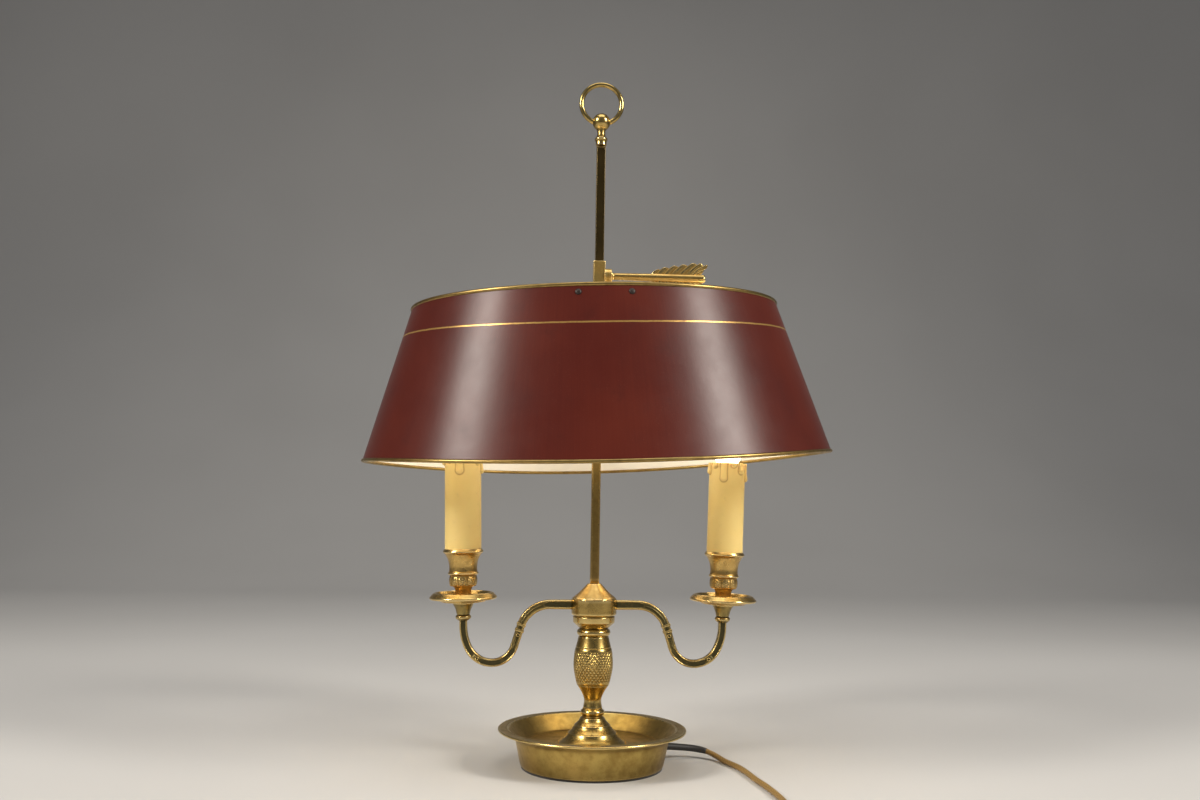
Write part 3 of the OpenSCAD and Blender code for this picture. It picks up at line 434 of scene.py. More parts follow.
def brassPaint(name, clean, aged, edge, rough, wear, turning):
    paint = Paint(name)
    x, y, z = paint.xyz()
    crest = paint.attribute("crest")
    grain = brassGrain
    cloud = paint.noise(*grain["cloud"])
    patch = paint.noise(*grain["patch"])
    speck = paint.noise(*grain["speck"])
    hollow = (crest*-1.3).clip()
    ridge = (crest*1.1 - 0.12).clip()
    age = ((cloud*0.55 + patch*0.45).ramp(0.40, 0.66)*wear + hollow*0.75 - ridge*0.5).clip()
    olive = paint.noise(*grain["olive"]).ramp(0.42, 0.62)
    tone = paint.blend(olive*0.55, clean, [clean[k]*oliveTint[k] for k in range(3)])
    tone = paint.blend(age, tone, aged)
    # painted highlight: ridges and edges blend toward the rubbed colour, partly real wear
    tone = paint.blend(ridge*0.7, tone, edge)
    tone = paint.blend(speck.ramp(0.55, 0.75)*0.25, tone, aged)
    radius = (x*x + y*y) ** 0.5
    lines = paint.noise(*grain["lines"], paint.vector(radius*grain["linePitch"], z*grain["linePitch"], 0.0))
    wipes = paint.noise(*grain["wipes"])
    if name == "dishBrass":
        # painted shade: the dish darkened in blotches toward its foot, near the floor
        lowShade = (1 - z.ramp(*dishLowShade["fade"]))*(patch*0.6 + cloud*0.6)
        tone = paint.blend(lowShade.clip()*0.75, tone, dishLowShade["tone"])
    if name == "stemBronze":
        tone = paint.blend(z.ramp(*stemBlack["fade"])*0.85, tone, stemBlack["tone"])
    height = lines*turning*0.5 + wipes*0.5 + speck*0.25
    rough = rough - 0.05 + age*0.16 + (wipes - 0.5)*0.12 + (lines - 0.5)*0.08*turning - ridge*0.06
    return paint.surface(Base_Color=tone, Metallic=1.0, Roughness=rough,
                         Normal=paint.bump(height, 0.00003, 0.6))


# other finishes: a colour and its mate, how rough, how metallic, and the grain's scale and depth
plainLooks = {
    "blackRubber": ((0.018, 0.016, 0.015), (0.035, 0.032, 0.03), 0.55, 0.0, 700, 0.00008),
    "blackPlastic": ((0.020, 0.018, 0.017), (0.034, 0.030, 0.028), 0.36, 0.0, 1500, 0.00004),
    "ivoryPlastic": ((0.70, 0.63, 0.48), (0.62, 0.54, 0.38), 0.38, 0.0, 900, 0.00003),
    "platedSteel": ((0.56, 0.56, 0.57), (0.40, 0.40, 0.41), 0.28, 1.0, 800, 0.00003),
    "blackSteel": ((0.022, 0.015, 0.013), (0.045, 0.028, 0.022), 0.46, 0.3, 900, 0.00005),
    "roughIron": ((0.10, 0.098, 0.095), (0.16, 0.12, 0.09), 0.62, 0.7, 350, 0.0003),
    # the felt's near-black colour is painted shadow under the dish
    "shadowFelt": ((0.016, 0.013, 0.010), (0.032, 0.026, 0.020), 0.95, 0.0, 1600, 0.0004),
    "wireCover": ((0.10, 0.05, 0.02), (0.16, 0.09, 0.04), 0.4, 0.0, 900, 0.00004),
}


def plainPaint(name, tone, mate, rough, metal, scale, deep):
    paint = Paint(name)
    cloud, grain = paint.noise(scale/20, 3), paint.noise(scale, 3, 0.6)
    tone = paint.blend((cloud*0.6 + grain*0.4).ramp(0.38, 0.62), tone, mate)
    sheen = {"Sheen_Weight": 0.4, "Sheen_Roughness": 0.5} if name == "shadowFelt" else {}
    return paint.surface(Base_Color=tone, Metallic=metal, Roughness=rough + (grain - 0.5)*0.16,
                         Normal=paint.bump(grain, deep, 0.6), **sheen)


paintBook = {name: brassPaint(name, *look) for name, look in brassLooks.items()}
paintBook.update({name: plainPaint(name, *look) for name, look in plainLooks.items()})
print("finishes done:", len(paintBook))

# the dish: the cord leaves through a hole in the wall, at a turn from the X axis
dishSizes = {"steps": 192, "exitTurn": 20, "exitZ": 10, "holeRadius": 3.55, "holeSides": 40,
             "holeFrom": 48, "holeTo": 60}


# takes the cutter's volume out of the piece for good
def cutWith(piece, cutter):
    cut = piece.modifiers.new("cut", "BOOLEAN")
    cut.operation, cut.solver, cut.object = "DIFFERENCE", "EXACT", cutter
    graph = bpy.context.evaluated_depsgraph_get()
    mesh = bpy.data.meshes.new_from_object(piece.evaluated_get(graph))
    piece.modifiers.clear()
    piece.data = mesh
    bpy.data.objects.remove(cutter)


def buildDish(d):
    profile = ([(bore, 14.1), (bore, 16.5), (27.5, 16.5), (27.8, 16.3), (28.1, 16.5), (46.4, 16.5),
                (46.7, 16.25), (47.0, 16.5)]
               + arc((50.5, 19.5), 3, -90, -42, 6)
               + [(61.25, 27.4, 0.5), (62.0, 28.0, 0.3), (63.2, 28.0), (63.45, 27.75), (63.7, 28.0)]
               + arc((68.65, 27.15), 0.85, 90, -90, 10)
               + [(62.4, 26.3, 0.8), (57.4, 22.0, 1.2), (56.8, 20.5, 0.8), (53.0, 3.2), (52.9, 2.8),
                  (52.6, 2.4), (52.5, 1.5, 0.3), (51.0, 1.5), (51.0, 2.7), (50.1, 2.7), (51.5, 14.1)])
    piece = buildPiece("baseDish", *lathe(profile, d["steps"]))
    turn = math.radians(d["exitTurn"])
    out = Vector((math.cos(turn), math.sin(turn), 0))
    path = [out*r*mm + Vector((0, 0, d["exitZ"]*mm)) for r in (d["holeFrom"], d["holeTo"])]
    cutWith(piece, buildPiece("hole", *tubeMesh(path, d["holeRadius"]*mm, d["holeSides"])[:2]))
    mount(piece, "base", "brass", "dishBrass", "base_dish")


buildDish(dishSizes)
print("dish done")

# the turned stack: foot, baluster with its knurl, hub, cap and finial
knurl = {"low": 61.6, "high": 84.2, "lines": 32, "pitch": 3.9, "deep": 0.42, "steep": 5.5, "fade": 0.7,
         "steps": 384, "rows": 0.325}


def knurled(r, z, turn, crest):
    if not knurl["low"] < z < knurl["high"]:
        return r, z, crest
    a = knurl["lines"]*turn/(2*math.pi)
    b = (z - knurl["low"])/knurl["pitch"]
    peak = min(abs(((a + b) % 1) - 0.5), abs(((a - b) % 1) - 0.5))
    lift = min(1, peak*knurl["steep"])
    edge = min(1, (z - knurl["low"])/knurl["fade"], (knurl["high"] - z)/knurl["fade"])
    return r - knurl["deep"]*(1 - lift)*edge, z, (lift*1.5 - 1.0)*edge*0.75 + crest*(1 - edge)


# even rows between two heights of a profile
def denser(points, low, high, step):
    out = []
    for a, b in zip(points, points[1:]):
        out.append(a)
        if min(a[1], b[1]) > low - 1 and max(a[1], b[1]) < high + 1:
            n = max(1, math.ceil(math.dist(a[:2], b[:2])/step))
            out += [(between(a[0], b[0], k/n), between(a[1], b[1], k/n)) for k in range(1, n)]
    return out + [points[-1]]


footProfile = ([(bore, 16.5), (25.3, 16.5), (25.3, 17.8, 0.9)]
               + flow([(23.9, 18.8), (20.4, 21.0), (18.3, 23.9)], 4) + [(17.9, 24.9, 0.7)]
               + flow([(16.8, 25.5), (14.9, 27.4), (13.6, 29.3)], 4) + [(13.4, 30.3, 0.6)]
               + flow([(12.4, 30.9), (10.5, 32.7), (9.4, 34.5)], 4) + [(9.25, 35.3, 0.4), (7.74, 36.1, 0.2)]
               + arc((6.6, 39.33), 2.3, -70, 70, 12) + [(7.12, 42.3), (bore, 42.3)])
neckLine = flow([(7.23, 42.3), (6.4, 46.75), (6.78, 50.15), (9.11, 55.11), (11.81, 58.98)], 5)
knurlLine = flow([(11.98, 59.4), (12.59, 61.39), (14.6, 72.22), (14.06, 82.73), (13.24, 86.18)], 8)
balusterProfile = ([(bore, 42.3)] + neckLine + [(11.5, 59.18)]
                   + denser(knurlLine, knurl["low"], knurl["high"], knurl["rows"])
                   + [(12.85, 86.4)] + flow([(13.14, 86.62), (12.12, 90.42), (11.2, 94.6)], 5)
                   + [(bore, 94.6)])
hubProfile = ([(bore, 94.6)] + arc((9.7, 97.5), 2.8, -80, 80, 12) + [(11.9, 101.5)]
              + flow([(12.2, 102.0), (14.4, 103.8), (15.5, 104.9)], 4)
              + [(15.7, 109.0, 0.5), (15.1, 109.3), (15.1, 109.8)] + arc((15.3, 111.5), 1.5, -80, 0, 6)
              + [(16.8, 122.0, 0.35), (11.6, 122.0), (11.6, 104.0), (bore, 104.0)])
capProfile = ([(2.56, 119.6), (11.55, 119.6), (11.55, 122.0), (16.45, 122.0, 0.25)]
              + flow([(16.4, 122.6), (11.84, 126.18), (5.5, 132.7)], 6) + [(5.0, 133.3, 0.35), (2.56, 133.3)])
finialLine = flow([(4.35, 472.3), (4.95, 473.4), (4.7, 474.5), (3.5, 475.9), (3.08, 478.2), (3.25, 480.4)], 5)
finialProfile = ([(0, 468.8), (4.25, 468.8, 0.25), (4.2, 471.6)] + finialLine
                 + arc((0, 487.4), 6.9, -60, 90, 26)[:-1] + [(0, 494.3)])
for name, node, part, finish in (
        ("foot", "foot", lathe(footProfile, 160), "turnedBrass"),
        ("baluster", "baluster", lathe(balusterProfile, knurl["steps"], knurled), "turnedBrass"),
        ("hubBody", "hub_body", lathe(hubProfile, 160), "turnedBrass"),
        ("hubCap", "hub_cap", lathe(capProfile, 160), "goldBrass"),
        ("finial", "finial", lathe(finialProfile, 96), "turnedBrass")):
    addPiece(name, part, placeAt(), "base", "brass", finish, node)
print("turned stack done")

stemSizes = {"wide": 6.6, "low": 133.3, "high": 468.8, "soft": 0.45, "rings": 84}


# a square outline with softened corners and even points along its sides
def squareLine(half, soft, step):
    corners = [(x*half, y*half, soft) for x, y in ((1, 1), (-1, 1), (-1, -1), (1, -1))]
    return support(soften(corners), True, 0.3, step)


def buildStem(s):
    section = squareLine(s["wide"]/2, s["soft"], 1.6)
    heights = [between(s["low"], s["high"], i/s["rings"])*mm for i in range(s["rings"] + 1)]
    verts, faces = loft([[(q.x*mm, q.y*mm, z) for q in section] for z in heights])
    part = (verts, faces, crests(section, True, 0.5)*len(heights))
    addPiece("stemBar", part, placeAt(), "base", "bronze", "stemBronze", "stem_bar")


buildStem(stemSizes)
print("stem done")

# the arms: a straight root, a bend, a slant and a hook that rises to the drip pan
armSizes = {"reach": 96.6, "rootZ": 117.7, "drop": 43, "slant": 73, "bend": 23, "hookIn": 17, "hookOut": 19.5,
            "rise": 38, "riseTurn": 27, "lean": 1.6, "endLen": 4, "wide": 5.7, "flare": 0.65, "flareTo": 2.2,
            "hubRadius": 16.85, "groove": 1.75, "deep": 0.8, "edge": 0.55, "rings": 220, "leafRidge": 0.30,
            # places along the arm as (x, z): end of the first groove, knuckle bars, dots, second groove
            "tip": (39, 116.5), "barA": (55.6, 103.4), "barB": (57.2, 99.2), "dotA": (58.6, 95.6),
            "leafEnd": (61.6, 87.5), "dotB": (86.2, 78.0), "barProud": (0.55, 0.45), "holeRadius": 0.75,
            "closes": 7, "opens": 2.2, "dotGap": (3.4, 1.9),
            # swellings of the leaf: from which place, how far on, how wide and how high
            "swells": [("tip", 12, 1.0, 0.3), ("leafEnd", -0.6, 0.7, 0.35)]}
studProfile = [(0, 0.15), (0.62, 0.15), (0.70, 0.35), (0.86, 0.62), (1.15, 0.72), (1.42, 0.55), (1.55, 0.1),
               (1.55, -0.8), (0, -0.8)]


def turned(degrees, x=1, y=1):
    return Vector((x*math.cos(math.radians(degrees)), y*math.sin(math.radians(degrees))))


# the points of one bend, each with its side direction
def bendRows(centre, radius, start, end, n, side):
    directions = [turned(between(start, end, i/n)) for i in range(1, n + 1)]
    return [(centre + radius*d, side*d) for d in directions]


# the centreline in the XZ plane as (point, side direction, length so far), and where it ends
def armLine(a):
    lowZ = a["rootZ"] - a["drop"]
    riseLift = (a["rise"] - a["hookOut"])*math.sin(math.radians(a["riseTurn"]))
    riseC = Vector((a["reach"] - a["rise"], lowZ + a["hookOut"] + riseLift))
    hookOutC = riseC + (a["rise"] - a["hookOut"])*turned(a["riseTurn"], 1, -1)
    hookInC = Vector((hookOutC.x, lowZ + a["hookIn"]))
    slant = math.radians(a["slant"])
    across = Vector((math.sin(slant), math.cos(slant)))
    slantLow = hookInC - a["hookIn"]*across
    bendLowZ = a["rootZ"] - a["bend"]*(1 - math.cos(slant))
    slantHigh = Vector((slantLow.x - (bendLowZ - slantLow.y)/math.tan(slant), bendLowZ))
    bendC = Vector((slantHigh.x - a["bend"]*math.sin(slant), a["rootZ"] - a["bend"]))
    armEnd = riseC + a["rise"]*turned(a["lean"], 1, -1) + a["endLen"]*turned(a["lean"]).yx
    rows = [(Vector((x, a["rootZ"])), Vector((0, 1))) for x in (a["hubRadius"], bendC.x)]
    rows += bendRows(bendC, a["bend"], 90, 90 - a["slant"], 30, 1)
    rows.append((slantLow, across))
    rows += bendRows(hookInC, a["hookIn"], 270 - a["slant"], 270, 24, -1)
    rows += bendRows(hookOutC, a["hookOut"], 270, 360 - a["riseTurn"], 24, -1)
    rows += bendRows(riseC, a["rise"], 360 - a["riseTurn"], 360 - a["lean"], 18, -1)
    rows.append((armEnd, turned(a["lean"], -1, 1)))
    places = [0.0]
    for p, q in zip(rows, rows[1:]):
        places.append(places[-1] + (q[0] - p[0]).length)
    out = []
    for i in range(a["rings"] + 1):
        at = places[-1]*i/a["rings"]
        k = min(max(j for j in range(len(places)) if places[j] <= at + 1e-9), len(rows) - 2)
        t = (at - places[k])/max(places[k + 1] - places[k], 1e-9)
        (p, u), (nextP, nextU) = rows[k], rows[k + 1]
        out.append((p.lerp(nextP, t), u.lerp(nextU, t).normalized(), at))
    return out, armEnd


# (u, y) of one ring, u across the face, y toward the front, with a groove down both faces
def armSection(half, thick, groove, deep, edge):
    face = [(half, thick - 0.85), (half - 0.2, thick - 0.4), (half - edge, thick - 0.08),
            (half - edge - 0.15, thick), (groove + 0.3, thick), (groove + 0.08, thick - 0.06*deep),
            (groove - 0.12, thick - 0.5*deep), (groove - 0.35, thick - 0.92*deep),
            (groove - 0.6, thick - deep), (groove*0.3, thick - deep)]
    front = face + [(-u, y) for u, y in reversed(face)]
    return front + [(-u, -y) for u, y in front]


def buildArm(a, side, suffix):
    rows, armEnd = armLine(a)
    total, thick = rows[-1][2], a["wide"]/2

    def rowAt(name):
        return min(rows, key=lambda row: (row[0] - Vector(a[name])).length)

    def taper(at):
        return max(0, 1 - a["flareTo"]*at/total)

    mark = {name: rowAt(name)[2] for name in ("tip", "leafEnd", "dotB")}
    rings, crest = [], []
    for i, (p, u, at) in enumerate(rows):
        cut = 1 - smoothStep(mark["tip"] - a["closes"], mark["tip"], at)     # how open the groove is
        if at > mark["leafEnd"]:
            cut = smoothStep(mark["leafEnd"], mark["leafEnd"] + a["opens"], at)
            cut *= 1 - smoothStep(*a["dotGap"], abs(at - mark["dotB"]))
        leaf = sum(high*math.exp(-((at - mark[name] - on)/wide)**2) for name, on, wide, high in a["swells"])
        groove = max(0.75, a["groove"]*(0.25 + 0.75*cut) + a["flare"]*0.6*taper(at))
        ridge = a["leafRidge"]*(1 - cut)     # runs low down the middle of the plain leaf
        section = armSection(thick + a["flare"]*taper(at) + leaf*0.5, thick + leaf*0.4, groove,
                             a["deep"]*cut - ridge, a["edge"])
        ring = []
        for q, c in zip(section, crests([Vector(q) for q in section], True, 0.5)):
            spot = p + u*q[0]
            x = spot.x if i else math.sqrt(max(a["hubRadius"]**2 - q[1]**2, 1)) - 0.25
            ring.append((side*x*mm, q[1]*mm, spot.y*mm))
            inGroove = -0.75*cut if abs(q[0]) < groove - 0.3 else 0
            crest.append(max(-1, min(1, c + inGroove)))
        rings.append(ring)
    parts = [(*loft(rings), crest)]
    proudY, proudU = a["barProud"]
    for name in ("barA", "barB"):
        p, u, at = rowAt(name)
        half = thick + a["flare"]*taper(at) + proudU
        bar = softBox((-1.0, -thick - proudY, -half), (1.0, thick + proudY, half), 0.5)
        parts.append(moved(bar, placeAt(side*p.x, 0, p.y, side*math.degrees(math.atan2(u.x, u.y)))))
    # studs on both faces: a small turned ring with a shallow drilled hole whose floor is painted dark, patina
    # with painted shade
    verts, faces, crest = lathe(studProfile, 28)
    marks = [-1.0 if Vector(v[:2]).length < a["holeRadius"]*mm and v[2] > 0 else 0.7 for v in verts]
    for name in ("dotA", "dotB"):
        p = rowAt(name)[0]
        for face in (-1, 1):
            place = placeAt(side*p.x, face*(thick - 0.12), p.y, -face*90, "X")
            parts.append(moved((verts, faces, marks), place))
    addPiece("arm" + suffix, joined(*parts), placeAt(), "base", "brass", "castBrass", "arm_" + suffix.lower())
    return armEnd


hands = {"Left": -1, "Right": 1}
for suffix, side in hands.items():
    armEnd = buildArm(armSizes, side, suffix)
print("arms done, end at", [round(v, 2) for v in armEnd])

# the lights: ferrule, drip pan, cup, candle and lamp glass, each measured from the end of its arm
candleSizes = {"radius": 13.5, "seat": 50.0, "top": 119.2, "wall": 1.3, "steps": 208,
               "fineRows": 45, "fineStep": 0.42, "fineFrom": 20, "skirt": 0.95, "skirtFade": (3.6, 0.9),
               # waves of the skirt's edge as (depth, count, start)
               "waves": [(0.7, 5, 0), (0.5, 9, 1)],
               # turn in degrees, length and half width of each drip
               "dripsLeft": [(261.8, 11.4, 2.6), (357.8, 11.2, 2.5), (187.8, 4.8, 2.2), (324.8, 4.6, 1.9),
                             (30, 9, 2.4), (72, 5.5, 2.2), (118, 12.5, 2.6), (152, 6.5, 2.1),
                             (226, 3.2, 1.8)],
               "dripsRight": [(249.5, 13.9, 2.35), (188.5, 8.6, 2.3), (309, 8.0, 2.3), (349.5, 13.5, 2.4),
                              (281, 3.4, 1.9), (25, 6.0, 2.2), (64, 12, 2.5), (108, 5.2, 2.1),
                              (150, 8.4, 2.4), (219, 4.0, 1.9)]}
ferruleProfile = ([(3.05, 0), (4.2, 0)] + arc((4, 2.3), 1.75, -80, 80, 10)
                  + flow([(4.8, 4.3), (5.2, 6), (5.8, 8.2), (7, 10.8), (8.1, 12.4)], 4)
                  + [(8.1, 13.4), (bore, 13.4), (bore, 5.15), (3.05, 5.15)])
panProfile = ([(bore, 13.4), (15.7, 13.4)] + flow([(16.3, 13.5), (19.1, 16.0), (20.5, 18.0)], 4)
              + [(21.1, 18.1, 0.3), (23.4, 15.75, 0.3)] + arc((23.85, 16.6), 1.15, -110, 60, 8)
              + flow([(22.4, 19.7), (21.4, 20.3)], 2) + [(20.7, 20.4, 0.2), (20.1, 19.8, 0.2)]
              + flow([(19.1, 18.2), (17.5, 16.1), (15.1, 15.0)], 4) + [(bore, 15.0)])
cupProfile = ([(bore, 15), (6.9, 15), (6.9, 15.9, 0.2)]
              + flow([(6.2, 16.8), (5.9, 20), (6.3, 23.2), (7.2, 24.6)], 4) + [(9.6, 25.2, 0.3)]
              + [(9.9 + 0.5*math.sin(k/18*math.pi), 25.6 + 7.0*k/18) for k in range(19)]
              + [(10.3, 33.2)] + arc((10.35, 34.35), 1.0, -55, 65, 8)
              + flow([(10.45, 35.7), (10.3, 39), (10.8, 42.6), (11.7, 45.4), (13.1, 48.0)], 4)
              + [(13.5, 48.5, 0.2), (15.05, 50.0, 0.5), (14.9, 50.7, 0.3), (14.05, 52.3, 0.3),
                 (13.55, 52.4, 0.1), (13.55, 50), (11.5, 50), (8.8, 48.6), (8.8, 34), (bore, 32)])
glassProfile = ([(0, 118.6)]
                + flow([(7.6, 118.6), (9.8, 123.16), (14.7, 133.04), (17.5, 146.72), (15.75, 161.16),
                        (10.85, 174.84), (5.43, 186.24), (2.45, 192.32)], 5) + [(0.9, 194.3), (0, 194.6)])
leaves = {"low": 25.5, "high": 32.7, "outside": 9, "count": 10, "deep": 0.55, "veins": 4.2, "slope": 2.4,
          "ribHalf": 0.05, "ends": 8}


def leafBand(r, z, turn, crest):
    if not (leaves["low"] < z < leaves["high"] and r > leaves["outside"]):
        return r, z, crest
    cell = (turn*leaves["count"]/(2*math.pi)) % 1 - 0.5
    up = (z - leaves["low"])/(leaves["high"] - leaves["low"])
    body = 1 - smoothStep(0.30 + 0.16*math.sin(up*math.pi), 0.52, abs(cell) + 0.10*up)
    veins = 0.5 + 0.5*math.cos(2*math.pi*(up*leaves["veins"] - abs(cell)*leaves["slope"]))
    rib = math.exp(-(cell/leaves["ribHalf"])**2)
    lift = body*(0.45 + 0.4*veins) + 0.35*rib*body
    edge = min(1, up*leaves["ends"], (1 - up)*leaves["ends"])
    return r + leaves["deep"]*(lift - 0.62)*edge, z, (lift*2.0 - 1.15)*edge + crest*(1 - edge)


# outer wall with melted drips, rounded rim and bore
def candlePart(c, drips):
    radius, inner, seat, top = c["radius"], c["radius"] - c["wall"], c["seat"], c["top"]
    rows = [seat + 0.02, seat + 1.2]
    rows += [between(seat + 3, top - c["fineFrom"], k/14) for k in range(15)]
    rows += [top - c["fineFrom"] + c["fineStep"]*k for k in range(1, c["fineRows"] + 1)]
    profile = [(radius, z) for z in rows if z < top - 0.9]
    profile += [(radius, top - 0.8), (radius - 0.1, top - 0.35), (radius - 0.35, top - 0.05),
                (radius - 0.65, top), (inner + 0.25, top - 0.05), (inner, top - 0.4), (inner, top - 8),
                (inner, seat + 8), (inner, seat), (radius, seat)]

    def shape(r, z, turn, crest):
        if r < radius - 0.5 or z < seat + 3:
            return r, z, crest
        lift, dripShade = 0.0, 0.0
        for at, length, half in drips:
            gap = (math.degrees(turn) - at + 180) % 360 - 180
            down = max(0.0, top - length + half - z)
            tip = smoothStep(7, 0, z - (top - length))
            away = math.hypot(math.radians(gap)*radius, down)/(half*(1 + 0.12*tip))
            if away < 1:
                lift = max(lift, (1 - away**2.6)**0.5*(1.3 + 0.9*tip))
            # painted shade: a ring just outside each drip's edge gets a negative crest, which the wax paints
            # darker
            dripShade = max(dripShade, 1 - abs(away - 1.12)/0.30)
        sag = sum(depth*math.sin(count*turn + start) for depth, count, start in c["waves"])
        lift = max(lift, c["skirt"]*smoothStep(*c["skirtFade"], top - z - sag))
        return r + lift, z, -dripShade if lift < 1.0 and dripShade > 0 else min(1.0, lift*0.4)
    return lathe(profile, c["steps"], shape, step=6)


# the darker wax colour round the drips' edges is painted shade
waxLook = {"honey": (0.94, 0.67, 0.235), "pale": (0.96, 0.71, 0.270), "dripShade": (0.50, 0.27, 0.065),
           "stain": (0.70, 0.50, 0.19), "rough": 0.42, "soft": 0.12, "softReach": (0.004, 0.0022, 0.001)}
glassLook = {"tone": (0.86, 0.80, 0.70), "mate": (0.90, 0.86, 0.78), "glow": (1.0, 0.74, 0.42),
             "glowMate": (1.0, 0.82, 0.54), "power": 9.0, "rough": 0.22}


def waxPaint(look):
    paint = Paint("candleCream")
    crest = paint.attribute("crest")
    cloud, patch, speck = paint.noise(30, 3), paint.noise(220, 3), paint.noise(1300, 2)
    tone = paint.blend(cloud.ramp(0.3, 0.7), look["honey"], look["pale"])
    # painted shade round the drips' edges
    tone = paint.blend((crest*-1.0).clip()*0.8, tone, look["dripShade"])
    tone = paint.blend(patch.ramp(0.6, 0.8)*0.25, tone, look["stain"])
    return paint.surface(Base_Color=tone, Roughness=look["rough"] + (patch - 0.5)*0.16,
                         Subsurface_Weight=look["soft"], Subsurface_Radius=look["softReach"],
                         Subsurface_Scale=1.0, Normal=paint.bump(patch*0.6 + speck*0.4, 0.00006, 0.5))


def glassPaint(look):
    paint = Paint("lampGlass")
    cloud = paint.noise(60, 2)
    return paint.surface(Base_Color=paint.blend(cloud, look["tone"], look["mate"]),
                         Roughness=look["rough"] + (cloud - 0.5)*0.1,
                         Emission_Color=paint.blend(cloud, look["glow"], look["glowMate"]),
                         Emission_Strength=look["power"], Coat_Weight=0.5, Coat_Roughness=0.05)


paintBook["candleCream"] = waxPaint(waxLook)
paintBook["lampGlass"] = glassPaint(glassLook)
for suffix, side in hands.items():
    place = placeAt(side*armEnd.x, 0, armEnd.y, side*armSizes["lean"])
    candle = candlePart(candleSizes, candleSizes["drips" + suffix])
    for name, node, part, slotName, finish in (
            ("ferrule", "ferrule_", lathe(ferruleProfile, 96), "brass", "castBrass"),
            ("dripPan", "drip_pan_", lathe(panProfile, 144), "brass", "goldBrass"),
            ("candleCup", "candle_cup_", lathe(cupProfile, 160, leafBand, 0.5), "brass", "goldBrass"),
            ("candle", "candle_", candle, "wax", "candleCream"),
            ("bulbGlass", "bulb_glass_", lathe(glassProfile, 64), "glass", "lampGlass")):
        addPiece(name + suffix, part, place, "base", slotName, finish, node + suffix.lower())
print("candle lights done")

# the shade: an oval shell that leans a little, two beads and six rivets
shadeSizes = {"topA": 137.7, "topB": 101.8, "lowA": 174.8, "lowB": 133.1, "high": 112.3, "dip": 8.5,
              "rimUp": 2.7, "off": -2.7, "sheet": 0.8, "z": 338, "lean": 2.2, "steps": 240, "rows": 22,
              "oval": 1.342, "inset": 1.0, "beadTop": 1.5, "beadLow": 1.35, "beadSides": 14, "stations": 72,
              "rivetDrop": 5.5, "rivetTurns": (262.5, 277.5, 82.5, 97.5), "footRivet": 7.9}
shadePlace = placeAt(0, 0, shadeSizes["z"], -shadeSizes["lean"])


def wallHeight(turn):
    return shadeSizes["high"] + shadeSizes["dip"]*math.sin(turn)**2


# a point of the wall: its turn, 0 at the bottom to 1 at the top, and how far off the middle of the sheet
def wall(turn, t, off=0.0):
    s = shadeSizes
    return Vector((s["off"] + (between(s["lowA"], s["topA"], t) + off)*math.cos(turn),
                   (between(s["lowB"], s["topB"], t) + off)*math.sin(turn),
                   s["rimUp"] - wallHeight(turn)*(1 - t)))*mm


lacquerLook = {"deep": (0.078, 0.0105, 0.0062), "light": (0.108, 0.0165, 0.0086),
               "stain": (0.052, 0.008, 0.0055), "dust": (0.26, 0.11, 0.07), "gold": (0.50, 0.30, 0.09),
               "rough": 0.31, "gloss": 0.3, "lineDrop": 21.6, "lineDip": 5.2,
               "lineHalf": (0.00035, 0.00075), "wobble": 0.0005}     # these two in metres
liningLook = {"cream": (0.83, 0.81, 0.75), "white": (0.87, 0.86, 0.82), "rough": 0.55}


# lacquer with a painted gold line; "drop" is the distance below the top rim in metres
def lacquerPaint(look):
    paint = Paint("shadeLacquer")
    drop = paint.attribute("drop")
    x, y, z = paint.xyz()
    fore, side = x - shadeSizes["off"]*mm, y*shadeSizes["oval"]     # the oval stretched to a circle
    reach = (fore*fore + side*side) ** 0.5
    fore, side = fore/reach, side/reach
    cloud = paint.noise(9, 3, 0.55)
    patch = paint.noise(60, 4, 0.6)
    dust = paint.noise(1400, 1)
    streak = paint.noise(1.0, 3, 0.6, paint.vector(fore*160, side*160, z*9))
    tone = paint.blend((cloud*0.8 + streak*0.2).ramp(0.35, 0.65), look["deep"], look["light"])
    tone = paint.blend(patch.ramp(0.55, 0.8)*0.4, tone, look["stain"])
    tone = paint.blend(dust.ramp(0.66, 0.78)*0.12, tone, look["dust"])
    wobble = (paint.noise(1.0, 2, 0.5, paint.vector(fore*14, side*14, 0.0)) - 0.5)*look["wobble"]
    away = abs(drop + wobble - (look["lineDrop"] + side*side*look["lineDip"])*mm)
    fade = paint.noise(1.0, 3, 0.6, paint.vector(fore*40, side*40, 1.7)).ramp(0.2, 0.52)*0.45 + 0.55
    line = (1 - away.ramp(*look["lineHalf"]))*fade
    tone = paint.blend(line, tone, look["gold"])
    rough = look["rough"] + (patch - 0.5)*0.10 + dust.ramp(0.6, 0.8)*0.06
    height = paint.noise(230, 2)*0.7 + dust*0.15 + line*0.5
    return paint.surface(Base_Color=tone, Roughness=rough, Metallic=line*0.6, IOR=1.5,
                         Specular_IOR_Level=look["gloss"], Normal=paint.bump(height, 0.00006, 0.5))


def liningPaint(look):
    paint = Paint("shadeLining")
    cloud, patch = paint.noise(14, 3), paint.noise(300, 3)
    tone = paint.blend(cloud.ramp(0.35, 0.7), look["cream"], look["white"])
    return paint.surface(Base_Color=tone, Roughness=look["rough"] + (patch - 0.5)*0.15,
                         Normal=paint.bump(patch, 0.00005, 0.4))


